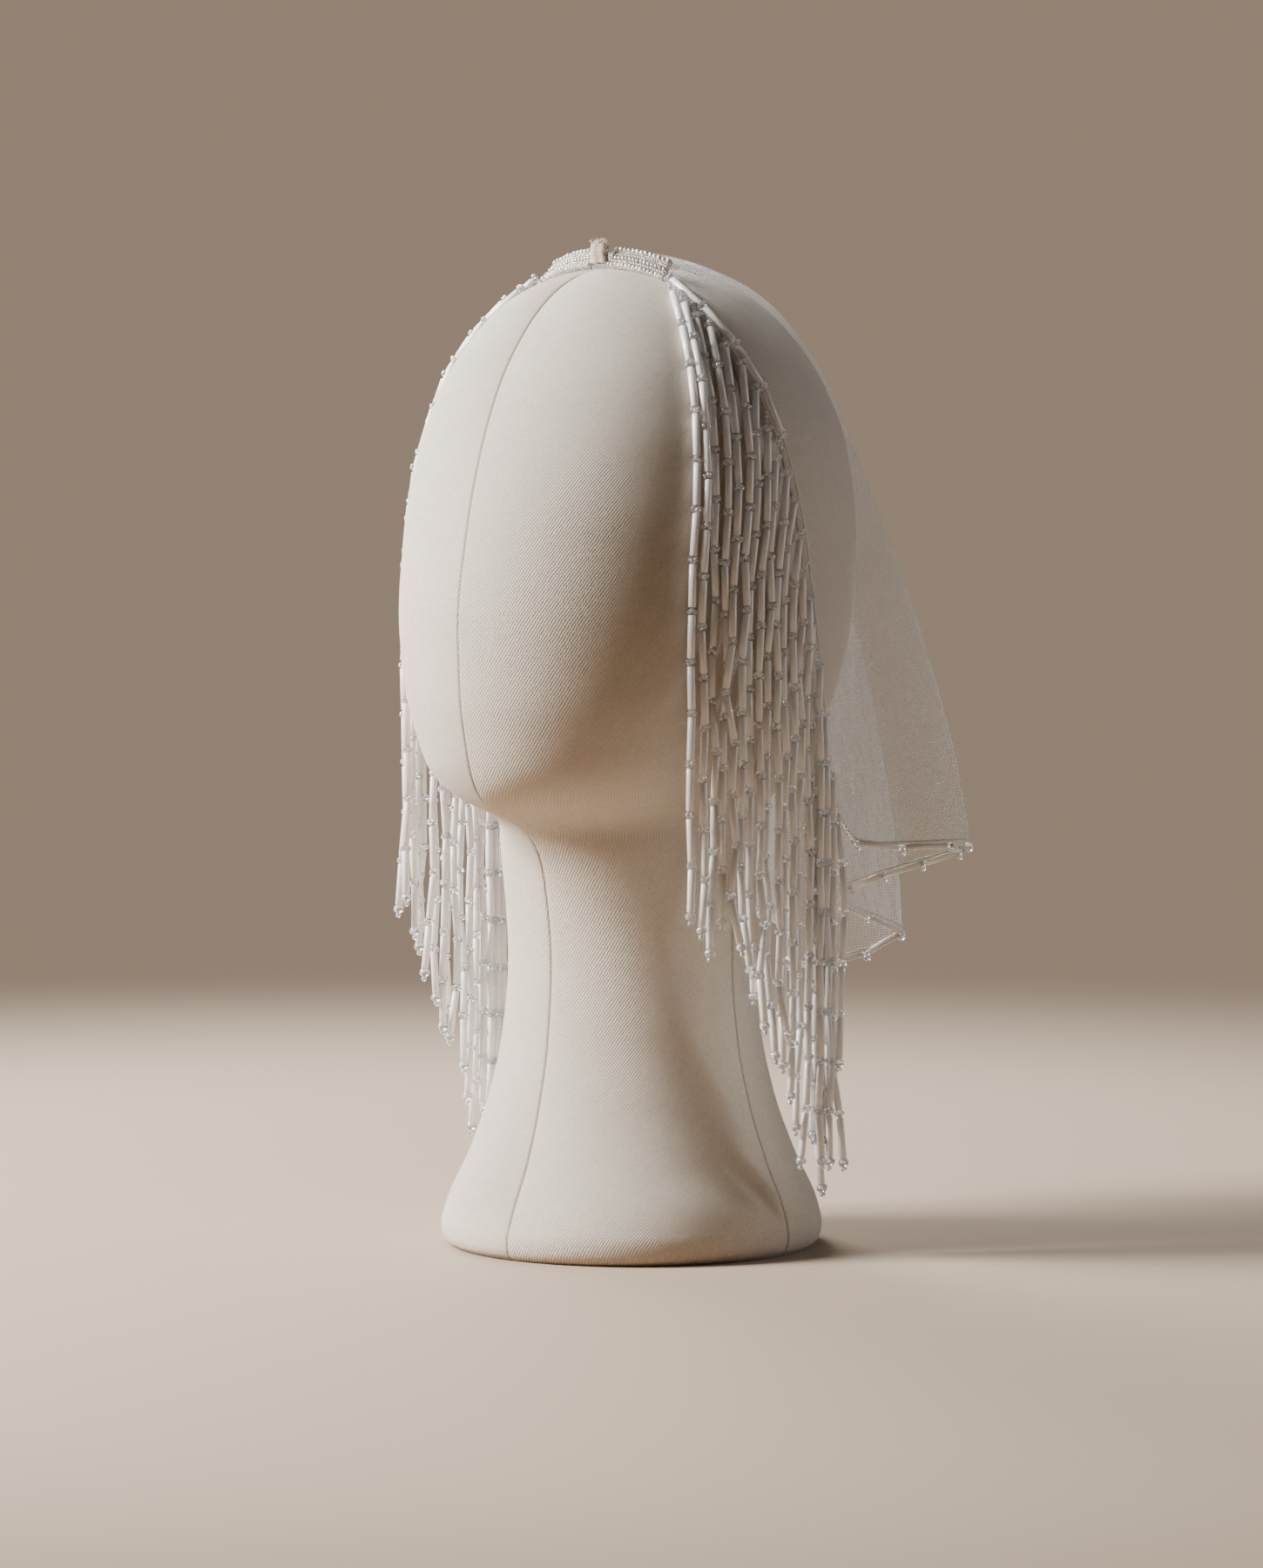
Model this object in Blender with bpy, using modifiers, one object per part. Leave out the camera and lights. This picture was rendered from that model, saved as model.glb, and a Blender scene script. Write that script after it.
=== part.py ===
"""Short bridal veil with beaded fringe on a smooth head form, in metres, +Z up.

The origin is the centre of the form's flat underside. The face looks along -Y, and +X is
the wearer's left. Tables are in millimetres.
"""

import math
from collections import namedtuple

import bmesh
import bpy
from mathutils import Vector

MM = 0.001
GAP = 0.3  # mm between neighbouring pieces

# Head form
FormRow = namedtuple("FormRow", "height front back half point")
FORM_ROWS = [
    FormRow(0.0, 71.0, 71.0, 71.0, 1.0),
    FormRow(2.5, 74.5, 74.5, 74.5, 1.0),
    FormRow(8.0, 75.5, 75.5, 76.0, 1.0),
    FormRow(16.0, 73.0, 74.0, 74.5, 1.0),
    FormRow(38.0, 63.0, 64.0, 65.0, 1.0),
    FormRow(60.0, 56.0, 56.5, 57.0, 1.0),
    FormRow(85.0, 51.0, 51.5, 51.5, 1.0),
    FormRow(113.0, 49.0, 49.0, 49.0, 1.0),
    FormRow(150.0, 53.5, 50.5, 49.5, 1.0),
    FormRow(162.0, 59.0, 52.0, 50.0, 1.2),
    FormRow(169.0, 67.5, 54.0, 50.5, 1.7),
    FormRow(173.0, 76.0, 55.5, 51.5, 1.8),
    FormRow(178.0, 86.0, 58.5, 54.0, 1.4),
    FormRow(184.0, 92.5, 63.0, 59.0, 1.1),
    FormRow(192.0, 96.5, 70.0, 65.5, 1.0),
    FormRow(204.0, 99.5, 78.0, 71.5, 1.0),
    FormRow(222.0, 102.5, 87.0, 77.5, 1.0),
    FormRow(250.0, 103.5, 96.0, 81.5, 1.0),
    FormRow(284.0, 98.5, 99.0, 82.0, 1.0),
    FormRow(314.0, 90.5, 95.0, 79.0, 1.0),
    FormRow(340.0, 79.5, 84.5, 71.0, 1.0),
    FormRow(360.0, 65.5, 69.0, 59.5, 1.0),
    FormRow(374.0, 50.5, 52.0, 46.0, 1.0),
    FormRow(382.0, 36.0, 34.0, 30.5, 1.0),
    FormRow(386.0, 21.0, 17.0, 16.0, 1.0),
    FormRow(387.0, 6.0, 4.0, 5.0, 1.0),
]
FORM_SIDES = 36
FORM_EXTRA_HEIGHTS = (27.0, 49.0, 72.0, 98.0, 131.0, 236.0, 267.0, 299.0, 327.0, 350.0)
WIDEST = 270.0

# Crown band
BAND_HALF_LENGTH = 30.0
BAND_WIDTH = 9.0
BAND_THICK = 2.2
BAND_LEAN = math.radians(42.0)
BAND_FRONT = -21.0
BAND_SWEEP = 3.0
BAND_STEPS = 6
BAND_ROUND = 0.5
LOOP_WIDTH = 8.4
LOOP_DEPTH = 4.2
LOOP_TALL = 8.4
LOOP_ROUND = 1.0
LOOP_RAISE = 0.4
LOOP_PROUD = 0.6

# Veil cloth
CLOTH = 1.2
CLOTH_LIFT = 1.9
TOP_LIFT_ANGLE = math.radians(16.0)
HALF_COLUMNS = 36
DOME_ROWS = 8
HANG_ROWS = 14
LEAVES_DOME = 345.0
CLOTH_TOP_X = 31.0
CLOTH_TOP_DROP = 1.5
CLOTH_TOP_BEHIND = 0.8
CLOTH_FRONT_BEYOND = 1.4
CLOTH_FRONT_BEHIND = 2.0
WIDEST_SPARE = 12.0
END_TURN = 0.86
EDGE_BOW = 7.0
EDGE_ANGLE = 1.0
FAN_POWER = 1.63

# Hem from the centre back (at 0) to the front edge (at 1): crests and valleys of the flutes
HemRow = namedtuple("HemRow", "at x y height bell")
HEM_ROWS = [
    HemRow(0.00, 0.0, 104.0, 104.0, 1.0),
    HemRow(0.19, 30.0, 136.0, 117.0, 1.6),
    HemRow(0.385, 31.0, 91.0, 136.0, 1.0),
    HemRow(0.71, 104.0, 84.0, 160.0, 1.4),
    HemRow(0.93, 84.5, 40.0, 162.0, 1.0),
    HemRow(1.00, 82.5, 28.0, 172.0, 1.0),
]
HEM_BEAD = 3.0
HEM_SPARE = 0.2

# Fringe
STRANDS = 22
STRAND = 2.4
STRIP = 3.0
STRIP_THICK = 2.4
STRIP_RAISE = 0.4
STRIP_SPARE = 0.1
STRAND_LIFT = 3.1
BUGLE_PITCH = 20.0
END_BEAD = 4.0
PLUMB_HEIGHT = 270.0
FIRST_PLUMB_ANGLE = -30.0
DOME_STRANDS = 14
DOME_LAST_ANGLE = 2.4
INNER_FORWARD = 2.8
INNER_OUTWARD = 0.4
OUTER_FORWARD = 2.0
OUTER_OUTWARD = 4.1
LINK_DROP = 7.0
ROOT_CROWDING = 1.22
OUTER_RAISE = 1.2
ROOT_LEAD = 2.0
TURN_POWER = 0.8
PATH_STEP = 22.0
DOME_EDGE_END = 258.0
EDGE_MARGIN = 3.0
EDGE_PROBES = 200

# Heights that the strand ends reach, front strand at 0 and last strand at 1
EndRow = namedtuple("EndRow", "at height")
END_ROWS = [
    EndRow(0.0, 132.0),
    EndRow(0.17, 124.0),
    EndRow(0.33, 100.0),
    EndRow(0.50, 70.0),
    EndRow(0.66, 43.0),
    EndRow(0.82, 35.0),
    EndRow(0.92, 48.0),
    EndRow(1.0, 82.0),
]


def eased(rows, key, column, at):
    """Value of a table column at a place between rows, curved but never past the rows."""
    keys = [getattr(row, key) for row in rows]
    values = [getattr(row, column) for row in rows]
    at = min(max(at, keys[0]), keys[-1])
    steps = [b - a for a, b in zip(keys, keys[1:])]
    slopes = [(b - a) / h for a, b, h in zip(values, values[1:], steps)]
    tangents = [slopes[0]]
    for i in range(1, len(slopes)):
        before, after = slopes[i - 1], slopes[i]
        if before * after <= 0.0:
            tangents.append(0.0)
            continue
        near, far = 2 * steps[i] + steps[i - 1], steps[i] + 2 * steps[i - 1]
        tangents.append((near + far) / (near / before + far / after))
    tangents.append(slopes[-1])
    i = max(k for k in range(len(slopes)) if keys[k] <= at)
    t = (at - keys[i]) / steps[i]
    return (
        (2 * t**3 - 3 * t**2 + 1) * values[i]
        + (t**3 - 2 * t**2 + t) * steps[i] * tangents[i]
        + (3 * t**2 - 2 * t**3) * values[i + 1]
        + (t**3 - t**2) * steps[i] * tangents[i + 1]
    )


def rounded(rows, key, column, at):
    """Value of a table column on a smooth curve that rounds each row, mirrored at key 0."""
    keys = [getattr(row, key) for row in rows]
    values = [getattr(row, column) for row in rows]
    mirror = -1.0 if column == "x" else 1.0
    keys = [-keys[1]] + keys + [2 * keys[-1] - keys[-2]]
    values = [mirror * values[1]] + values + [2 * values[-1] - values[-2]]
    i = max(k for k in range(1, len(keys) - 2) if keys[k] <= at + 1e-9)
    span = keys[i + 1] - keys[i]
    t = (at - keys[i]) / span
    start = (values[i + 1] - values[i - 1]) / (keys[i + 1] - keys[i - 1]) * span
    end = (values[i + 2] - values[i]) / (keys[i + 2] - keys[i]) * span
    return (
        (2 * t**3 - 3 * t**2 + 1) * values[i]
        + (t**3 - 2 * t**2 + t) * start
        + (3 * t**2 - 2 * t**3) * values[i + 1]
        + (t**3 - t**2) * end
    )


def form_section(height):
    return [eased(FORM_ROWS, "height", name, height) for name in ("front", "back", "half", "point")]


def form_point(angle, height):
    """Point of the form's surface, with the angle measured from +X towards the back."""
    front, back, half, point = form_section(height)
    across, along = math.cos(angle), math.sin(angle)
    if along < 0.0:
        across = math.copysign(abs(across) ** point, across)
        return Vector((half * across, front * along, height))
    return Vector((half * across, back * along, height))


def form_normal(angle, height):
    """Outward direction of the form's surface."""
    turn = 0.01
    rise = 0.25
    top = min(height + rise, FORM_ROWS[-1].height)
    around = form_point(angle + turn, height) - form_point(angle - turn, height)
    upward = form_point(angle, top) - form_point(angle, top - 2 * rise)
    return around.cross(upward).normalized()


def plan_level(x, y, height, lift):
    """Below 1 inside the form's section at a height, above 1 outside it."""
    front, back, half, _ = form_section(height)
    reach = (front if y < 0.0 else back) + lift
    return math.hypot(x / (half + lift), y / reach)


def plan_angle(x, y, height):
    front, back, half, _ = form_section(height)
    return math.atan2(y / (front if y < 0.0 else back), x / half)


def dome_height(x, y):
    """Height of the crown over a place in plan."""
    low, high = WIDEST, FORM_ROWS[-1].height
    for _ in range(40):
        middle = (low + high) / 2
        if plan_level(x, y, middle, 0.0) < 1.0:
            low = middle
        else:
            high = middle
    return low


def above_dome(x, y, lift):
    """Point at a distance from the crown's surface, over a place in plan."""
    height = dome_height(x, y)
    level = plan_level(x, y, height, 0.0)
    normal = form_normal(plan_angle(x, y, height), height)
    cap = min(1.0, level**4)
    normal = (normal * cap + Vector((0.0, 0.0, 1.0 - cap))).normalized()
    return Vector((x, y, height)) + normal * lift


def band_front(x):
    return BAND_FRONT + BAND_SWEEP * (x / BAND_HALF_LENGTH) ** 2


def band_frame(x):
    """Foot of the band's front face, its upward direction and its backward direction."""
    upward = Vector((0.0, math.sin(BAND_LEAN), math.cos(BAND_LEAN)))
    backward = Vector((0.0, math.cos(BAND_LEAN), -math.sin(BAND_LEAN)))
    foot_lift = BAND_THICK * math.sin(BAND_LEAN) + 2 * GAP
    foot = above_dome(x, band_front(x), 0.0) + Vector((0.0, 0.0, foot_lift))
    return foot, upward, backward


def cloth_top(side):
    """Top edge of the cloth: behind the band, then forward round its end."""
    along = min(1.0, side / END_TURN)
    x = CLOTH_TOP_X * along
    foot, upward, backward = band_frame(x)
    behind = foot + upward * (BAND_WIDTH - CLOTH_TOP_DROP)
    behind += backward * (BAND_THICK + CLOTH_TOP_BEHIND)
    if side <= END_TURN:
        return behind
    turned = (side - END_TURN) / (1.0 - END_TURN)
    beyond = CLOTH_TOP_X + CLOTH_FRONT_BEYOND
    front = above_dome(beyond, band_front(x) + CLOTH_FRONT_BEHIND, CLOTH_LIFT)
    return behind.lerp(front, turned)


def cloth_column(side):
    """Middle points of the cloth from the band to the hem, side 0 at the back to 1 in front."""
    top = cloth_top(side)
    angle = math.radians(90.0 - (90.0 - EDGE_ANGLE) * side**FAN_POWER)
    widest = form_point(angle, WIDEST + WIDEST_SPARE)
    top_rise = (top - above_dome(top.x, top.y, 0.0)).length - CLOTH_LIFT

    def dome(turn):
        along = math.sin(turn)
        x = top.x + (widest.x - top.x) * along
        y = top.y + (widest.y - top.y) * along - EDGE_BOW * side**3 * math.sin(math.pi * along)
        lift = CLOTH_LIFT + top_rise * math.exp(-((turn / TOP_LIFT_ANGLE) ** 2))
        return above_dome(x, y, lift)

    low, high = 0.0, math.pi / 2
    for _ in range(30):
        middle = (low + high) / 2
        if dome(middle).z > LEAVES_DOME:
            low = middle
        else:
            high = middle
    column = [top] + [dome(low * row / DOME_ROWS) for row in range(1, DOME_ROWS + 1)]

    leave = column[-1]
    hem = Vector([rounded(HEM_ROWS, "at", name, side) for name in ("x", "y", "height")])
    bell = rounded(HEM_ROWS, "at", "bell", side)
    hem_level = plan_level(hem.x, hem.y, WIDEST, CLOTH_LIFT)
    for row in range(1, HANG_ROWS + 1):
        drop = row / HANG_ROWS
        height = leave.z + (hem.z - leave.z) * drop
        share = 1.0 - (1.0 - drop) ** bell
        x = leave.x + (hem.x - leave.x) * share
        y = leave.y + (hem.y - leave.y) * share
        below = max(0.0, (WIDEST - height) / (WIDEST - hem.z))
        least = 1.0 + min(0.0, hem_level - 1.0) * below
        level = plan_level(x, y, max(height, WIDEST), CLOTH_LIFT)
        push = max(1.0, least / level)
        column.append(Vector((x * push, y * push, height)))
    return column


def mirrored(point):
    return Vector((-point.x, point.y, point.z))


def resampled(points, distances):
    """Points and directions at distances along a line of points."""
    lengths = [0.0]
    for a, b in zip(points, points[1:]):
        lengths.append(lengths[-1] + (b - a).length)
    found = []
    for distance in distances:
        distance = min(max(distance, 0.0), lengths[-1])
        i = max(k for k in range(len(points) - 1) if lengths[k] <= distance)
        share = (distance - lengths[i]) / (lengths[i + 1] - lengths[i])
        before = points[max(i - 1, 0)]
        after = points[min(i + 2, len(points) - 1)]
        start = (points[i + 1] - before).normalized()
        end = (after - points[i]).normalized()
        found.append((points[i].lerp(points[i + 1], share), start.lerp(end, share).normalized()))
    return found, lengths[-1]


def strand_path(k, root, forward):
    """Middle points of a strand, from its root over the crown and straight down."""
    share = k / (STRANDS - 1)
    end_height = eased(END_ROWS, "at", "height", share)
    path = [root]
    if k < DOME_STRANDS:
        last = FIRST_PLUMB_ANGLE + (DOME_LAST_ANGLE - FIRST_PLUMB_ANGLE) * k / (DOME_STRANDS - 1)
        plumb_angle = math.radians(last)
        layer = STRAND_LIFT + (OUTER_RAISE if k % 2 else 0.0)
        plumb = form_point(plumb_angle, PLUMB_HEIGHT)
        plumb += form_normal(plumb_angle, PLUMB_HEIGHT) * layer
        start = root + forward * ROOT_LEAD
        start_angle = plan_angle(start.x, start.y, min(start.z, FORM_ROWS[-2].height))
        plumb.z = min(PLUMB_HEIGHT, start.z - LINK_DROP)
        steps = max(1, math.ceil((start.z - plumb.z) / PATH_STEP))
        for step in range(1, steps):
            fall = math.sin(math.pi / 2 * step / steps) ** 2
            height = start.z + (plumb.z - start.z) * fall
            angle = start_angle + (plumb_angle - start_angle) * (step / steps) ** TURN_POWER
            path.append(form_point(angle, height) + form_normal(angle, height) * layer)
    else:
        outer = k % 2 == 1
        outward = OUTER_OUTWARD if outer else INNER_OUTWARD
        plumb = root + forward * (OUTER_FORWARD if outer else INNER_FORWARD)
        plumb = Vector((plumb.x + outward, plumb.y, root.z - LINK_DROP))
    path.append(plumb)
    laid = sum((b - a).length for a, b in zip(path, path[1:]))
    bugles = round((laid + plumb.z - end_height) / BUGLE_PITCH)
    hanging = BUGLE_PITCH * bugles + END_BEAD - laid
    path.append(Vector((plumb.x, plumb.y, plumb.z - hanging)))
    return path


def material(name, colour, roughness, alpha=1.0):
    made = bpy.data.materials.new(name)
    made.use_nodes = True
    shader = made.node_tree.nodes["Principled BSDF"]
    shader.inputs["Base Color"].default_value = (*colour, 1.0)
    shader.inputs["Roughness"].default_value = roughness
    shader.inputs["Metallic"].default_value = 0.0
    shader.inputs["Alpha"].default_value = alpha
    made.diffuse_color = (*colour, 1.0)
    return made


def add_object(name, bm, finish, collection):
    mesh = bpy.data.meshes.new(name)
    bmesh.ops.recalc_face_normals(bm, faces=bm.faces)
    if bm.calc_volume(signed=True) < 0.0:
        bmesh.ops.reverse_faces(bm, faces=bm.faces)
    bm.to_mesh(mesh)
    bm.free()
    mesh.shade_smooth()
    mesh.set_sharp_from_angle(angle=math.radians(50.0))
    made = bpy.data.objects.new(name, mesh)
    made.data.materials.append(finish)
    collection.objects.link(made)
    return made


def lofted(rings):
    """Closed solid through rings of points in millimetres, each with as many points."""
    bm = bmesh.new()
    loops = [[bm.verts.new(point * MM) for point in ring] for ring in rings]
    sides = len(loops[0])
    for low, high in zip(loops, loops[1:]):
        for i in range(sides):
            j = (i + 1) % sides
            bm.faces.new((low[i], low[j], high[j], high[i]))
    bm.faces.new(list(reversed(loops[0])))
    bm.faces.new(loops[-1])
    return bm


def build_form(collection):
    heights = sorted([row.height for row in FORM_ROWS] + list(FORM_EXTRA_HEIGHTS))
    angles = [2 * math.pi * i / FORM_SIDES for i in range(FORM_SIDES)]
    rings = [[form_point(angle, height) for angle in angles] for height in heights]
    linen = material("linen", (0.78, 0.73, 0.66), 0.85)
    add_object("head_form", lofted(rings), linen, collection)


def build_bands(collection):
    beads = material("seed_beads", (0.86, 0.86, 0.84), 0.3)
    tape = material("net_tape", (0.72, 0.63, 0.52), 0.8)
    inner = LOOP_WIDTH / 2 + GAP
    low, high = BAND_ROUND, BAND_WIDTH - BAND_ROUND
    near, far = BAND_ROUND, BAND_THICK - BAND_ROUND
    corners = [(0.0, near), (low, 0.0), (high, 0.0), (BAND_WIDTH, near)]
    corners += [(BAND_WIDTH, far), (high, BAND_THICK), (low, BAND_THICK), (0.0, far)]
    for name, side in (("band_left", 1.0), ("band_right", -1.0)):
        rings = []
        for step in range(BAND_STEPS + 1):
            x = side * (inner + (BAND_HALF_LENGTH - inner) * step / BAND_STEPS)
            foot, upward, backward = band_frame(x)
            rings.append([foot + upward * up + backward * back for up, back in corners])
        add_object(name, lofted(rings), beads, collection)

    foot = band_frame(0.0)[0]
    bm = bmesh.new()
    bmesh.ops.create_cube(bm, size=MM)
    bmesh.ops.scale(bm, verts=bm.verts, vec=(LOOP_WIDTH, LOOP_DEPTH, LOOP_TALL))
    bmesh.ops.bevel(
        bm,
        geom=bm.edges[:],
        offset=LOOP_ROUND * MM,
        segments=2,
        profile=0.5,
        affect="EDGES",
        material=-1,
    )
    made = add_object("centre_loop", bm, tape, collection)
    middle = Vector((0.0, LOOP_DEPTH / 2 - LOOP_PROUD, LOOP_TALL / 2 + LOOP_RAISE))
    made.location = (foot + middle) * MM


def build_veil(collection, columns):
    net = material("tulle", (0.80, 0.79, 0.77), 0.7, 0.45)
    bm = bmesh.new()
    grid = [[bm.verts.new(point * MM) for point in column] for column in columns]
    for left, right in zip(grid, grid[1:]):
        for row in range(len(left) - 1):
            bm.faces.new((left[row], left[row + 1], right[row + 1], right[row]))
    made = add_object("veil_panel", bm, net, collection)
    wall = made.modifiers.new("wall", "SOLIDIFY")
    wall.thickness = CLOTH * MM
    wall.offset = 0.0


def build_hem(collection, columns):
    """Row of tube beads just below the cloth's lower edge."""
    glass = material("satin_glass", (0.85, 0.85, 0.83), 0.25)
    reach = GAP + HEM_BEAD / 2 + HEM_SPARE
    half = HEM_BEAD / 2
    rings = []
    for before, column, after in zip(columns, columns[1:], columns[2:]):
        ahead = (after[-1] - before[-1]).normalized()
        fall = column[-1] - column[-2]
        fall = (fall - ahead * fall.dot(ahead)).normalized()
        across = ahead.cross(fall)
        middle = column[-1] + fall * reach
        rings.append([middle + corner * half for corner in (across, fall, -across, -fall)])
    add_object("hem_beads", lofted(rings), glass, collection)


def edge_frame(edge):
    """For each point of the front edge: the way along it, the way off the cloth and outward."""
    frames = []
    for i, point in enumerate(edge):
        along = (edge[min(i + 1, len(edge) - 1)] - edge[max(i - 1, 0)]).normalized()
        outward = Vector((point.x, point.y, max(0.0, point.z - WIDEST)))
        outward = (outward - along * outward.dot(along)).normalized()
        frames.append((point, along.cross(outward).normalized(), outward))
    return frames


def build_fringe(name, collection, edge, side):
    """Narrow strip in front of the cloth's edge, with the strands drawn out of its front face."""
    glass = material(name + "_glass", (0.87, 0.87, 0.85), 0.25)
    frames = edge_frame(edge)
    reach = GAP + STRIP / 2 + STRIP_SPARE
    line = [point + forward * reach + outward * STRIP_RAISE for point, forward, outward in frames]
    total = resampled(line, [0.0])[1]
    probes = [total * i / EDGE_PROBES for i in range(EDGE_PROBES + 1)]
    reached = zip(probes, resampled(line, probes)[0])
    dome_end = max(length for length, (point, _) in reached if point.z > DOME_EDGE_END)
    roots = []
    for k in range(STRANDS):
        if k < DOME_STRANDS:
            share = (k / (DOME_STRANDS - 1)) ** ROOT_CROWDING
            roots.append(EDGE_MARGIN + (dome_end - EDGE_MARGIN) * share)
        else:
            share = (k - DOME_STRANDS + 1) / (STRANDS - DOME_STRANDS)
            roots.append(dome_end + (total - EDGE_MARGIN - dome_end) * share)

    stations = [EDGE_MARGIN - STRAND]
    for root in roots:
        stations += [root - STRAND / 2, root + STRAND / 2]
    stations.append(total - EDGE_MARGIN + STRAND)
    frames = edge_frame([point for point, _ in resampled(line, stations)[0]])
    bm = bmesh.new()
    half = STRIP / 2
    thick = STRIP_THICK / 2
    loops = []
    for middle, forward, outward in frames:
        corners = ((half, thick), (half, -thick), (-half, -thick), (-half, thick))
        ring = [middle + forward * f + outward * o for f, o in corners]
        loops.append([bm.verts.new(side_of(point, side) * MM) for point in ring])
    fronts = []
    for low, high in zip(loops, loops[1:]):
        for a in range(4):
            b = (a + 1) % 4
            face = bm.faces.new((low[a], low[b], high[b], high[a]))
            if a == 0:
                fronts.append(face)
    bm.faces.new(list(reversed(loops[0])))
    bm.faces.new(loops[-1])

    for k in range(STRANDS):
        station = 1 + 2 * k
        middle, forward, outward = frames[station]
        after = frames[station + 1][0]
        root = (middle + after) / 2 + forward * half
        draw_strand(bm, fronts[station], strand_path(k, root, forward), after - middle, outward, side)
    add_object(name, bm, glass, collection)


def side_of(point, side):
    return point if side > 0.0 else mirrored(point)


def draw_strand(bm, face, path, along, outward, side):
    """Draws a face out along a path, keeping a square section."""
    half = STRAND / 2
    corner_ways = [(-1.0, 1.0), (-1.0, -1.0), (1.0, -1.0), (1.0, 1.0)]
    hand = math.copysign(1.0, (path[1] - path[0]).cross(outward).dot(along))
    corners = list(face.verts)
    for i in range(1, len(path)):
        ahead = (path[min(i + 1, len(path) - 1)] - path[i - 1]).normalized()
        across = (outward - ahead * outward.dot(ahead)).normalized()
        beside = ahead.cross(across) * hand
        old_places = [vert.co.copy() for vert in corners]
        face = bmesh.ops.extrude_discrete_faces(bm, faces=[face])["faces"][0]
        grown = [min(face.verts, key=lambda vert: (vert.co - place).length) for place in old_places]
        for vert, (b, o) in zip(grown, corner_ways):
            point = path[i] + beside * half * b + across * half * o
            vert.co = side_of(point, side) * MM
        corners = grown


def main():
    for item in list(bpy.data.objects):
        bpy.data.objects.remove(item, do_unlink=True)
    collection = bpy.data.collections.new("bridal_veil")
    bpy.context.scene.collection.children.link(collection)

    build_form(collection)
    build_bands(collection)
    half = [cloth_column(i / HALF_COLUMNS) for i in range(HALF_COLUMNS + 1)]
    columns = [[mirrored(point) for point in column] for column in reversed(half[1:])] + half
    build_veil(collection, columns)
    build_hem(collection, columns)
    build_fringe("fringe_left", collection, half[-1], 1.0)
    build_fringe("fringe_right", collection, half[-1], -1.0)


main()
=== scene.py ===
import math
import random

import bmesh
import bpy
import numpy as np
from mathutils import Matrix, Vector


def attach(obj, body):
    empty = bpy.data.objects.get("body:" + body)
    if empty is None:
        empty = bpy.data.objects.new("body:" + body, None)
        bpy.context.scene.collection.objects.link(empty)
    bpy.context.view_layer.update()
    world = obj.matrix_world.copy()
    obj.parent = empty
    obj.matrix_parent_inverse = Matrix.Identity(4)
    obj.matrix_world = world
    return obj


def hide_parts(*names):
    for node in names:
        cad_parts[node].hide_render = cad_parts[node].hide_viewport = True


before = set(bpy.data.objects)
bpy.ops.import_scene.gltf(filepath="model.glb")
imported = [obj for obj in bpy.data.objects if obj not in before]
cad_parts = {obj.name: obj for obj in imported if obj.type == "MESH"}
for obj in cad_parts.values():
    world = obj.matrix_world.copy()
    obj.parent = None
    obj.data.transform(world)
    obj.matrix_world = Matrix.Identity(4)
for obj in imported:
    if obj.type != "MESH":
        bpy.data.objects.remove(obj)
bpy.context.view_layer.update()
print("frame loaded")

mm = 0.001
gap = 0.3

# camera and studio
studio = {
    "azimuth": 40.0,
    "distance": 2.5,
    "height": 0.338,
    "pitch": 3.552,
    "lens": 145.0,
    "floorColour": (0.455, 0.366, 0.295, 1.0),
    "bounceColour": (0.33, 0.234, 0.158, 1.0),
    "farGlow": 0.12,
    "floorInner": 0.42,
    "floorOuter": 1.25,
    "wallColour": (0.31, 0.232, 0.17, 1.0),
    "airColour": (1.0, 0.83, 0.68, 1.0),
    "airStrength": 0.02,
    "keyAzimuth": -43.0,
    "keyPower": 140.0,
    "backAzimuth": -118.0,
    "backPower": 66.0,
    "stripAzimuth": 137.0,
    "stripPower": 8.2,
}

# head form: height, front, back, half width, point of the chin, all in mm
formTable = np.array([
    (0.0, 71.0, 71.0, 71.0, 1.0),
    (2.5, 74.5, 74.5, 74.5, 1.0),
    (8.0, 75.5, 75.5, 76.0, 1.0),
    (16.0, 73.0, 74.0, 74.5, 1.0),
    (38.0, 63.0, 64.0, 65.0, 1.0),
    (60.0, 56.0, 56.5, 57.0, 1.0),
    (85.0, 51.0, 51.5, 51.5, 1.0),
    (113.0, 49.0, 49.0, 49.0, 1.0),
    (150.0, 53.5, 50.5, 49.5, 1.0),
    (162.0, 59.0, 52.0, 50.0, 1.2),
    (169.0, 67.5, 54.0, 50.5, 1.7),
    (173.0, 76.0, 55.5, 51.5, 1.8),
    (178.0, 86.0, 58.5, 54.0, 1.4),
    (184.0, 92.5, 63.0, 59.0, 1.1),
    (192.0, 96.5, 70.0, 65.5, 1.0),
    (204.0, 99.5, 78.0, 71.5, 1.0),
    (222.0, 102.5, 87.0, 77.5, 1.0),
    (250.0, 103.5, 96.0, 81.5, 1.0),
    (284.0, 98.5, 99.0, 82.0, 1.0),
    (314.0, 90.5, 95.0, 79.0, 1.0),
    (340.0, 79.5, 84.5, 71.0, 1.0),
    (360.0, 65.5, 69.0, 59.5, 1.0),
    (374.0, 50.5, 52.0, 46.0, 1.0),
    (382.0, 36.0, 34.0, 30.5, 1.0),
    (386.0, 21.0, 17.0, 16.0, 1.0),
    (387.0, 6.0, 4.0, 5.0, 1.0),
])

# hem of the veil: place (0 back, 1 front edge), x, y, height, bell
hemTable = np.array([
    (0.0, 0.0, 104.0, 104.0, 1.0),
    (0.19, 30.0, 136.0, 117.0, 1.6),
    (0.385, 31.0, 91.0, 136.0, 1.0),
    (0.71, 104.0, 84.0, 160.0, 1.4),
    (0.93, 84.5, 40.0, 162.0, 1.0),
    (1.0, 82.5, 28.0, 172.0, 1.0),
])

# how low the strands hang: place (0 front strand, 1 last strand), height
endTable = np.array([
    (0.0, 132.0),
    (0.17, 124.0),
    (0.33, 100.0),
    (0.50, 70.0),
    (0.66, 43.0),
    (0.82, 35.0),
    (0.92, 48.0),
    (1.0, 82.0),
])


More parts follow.
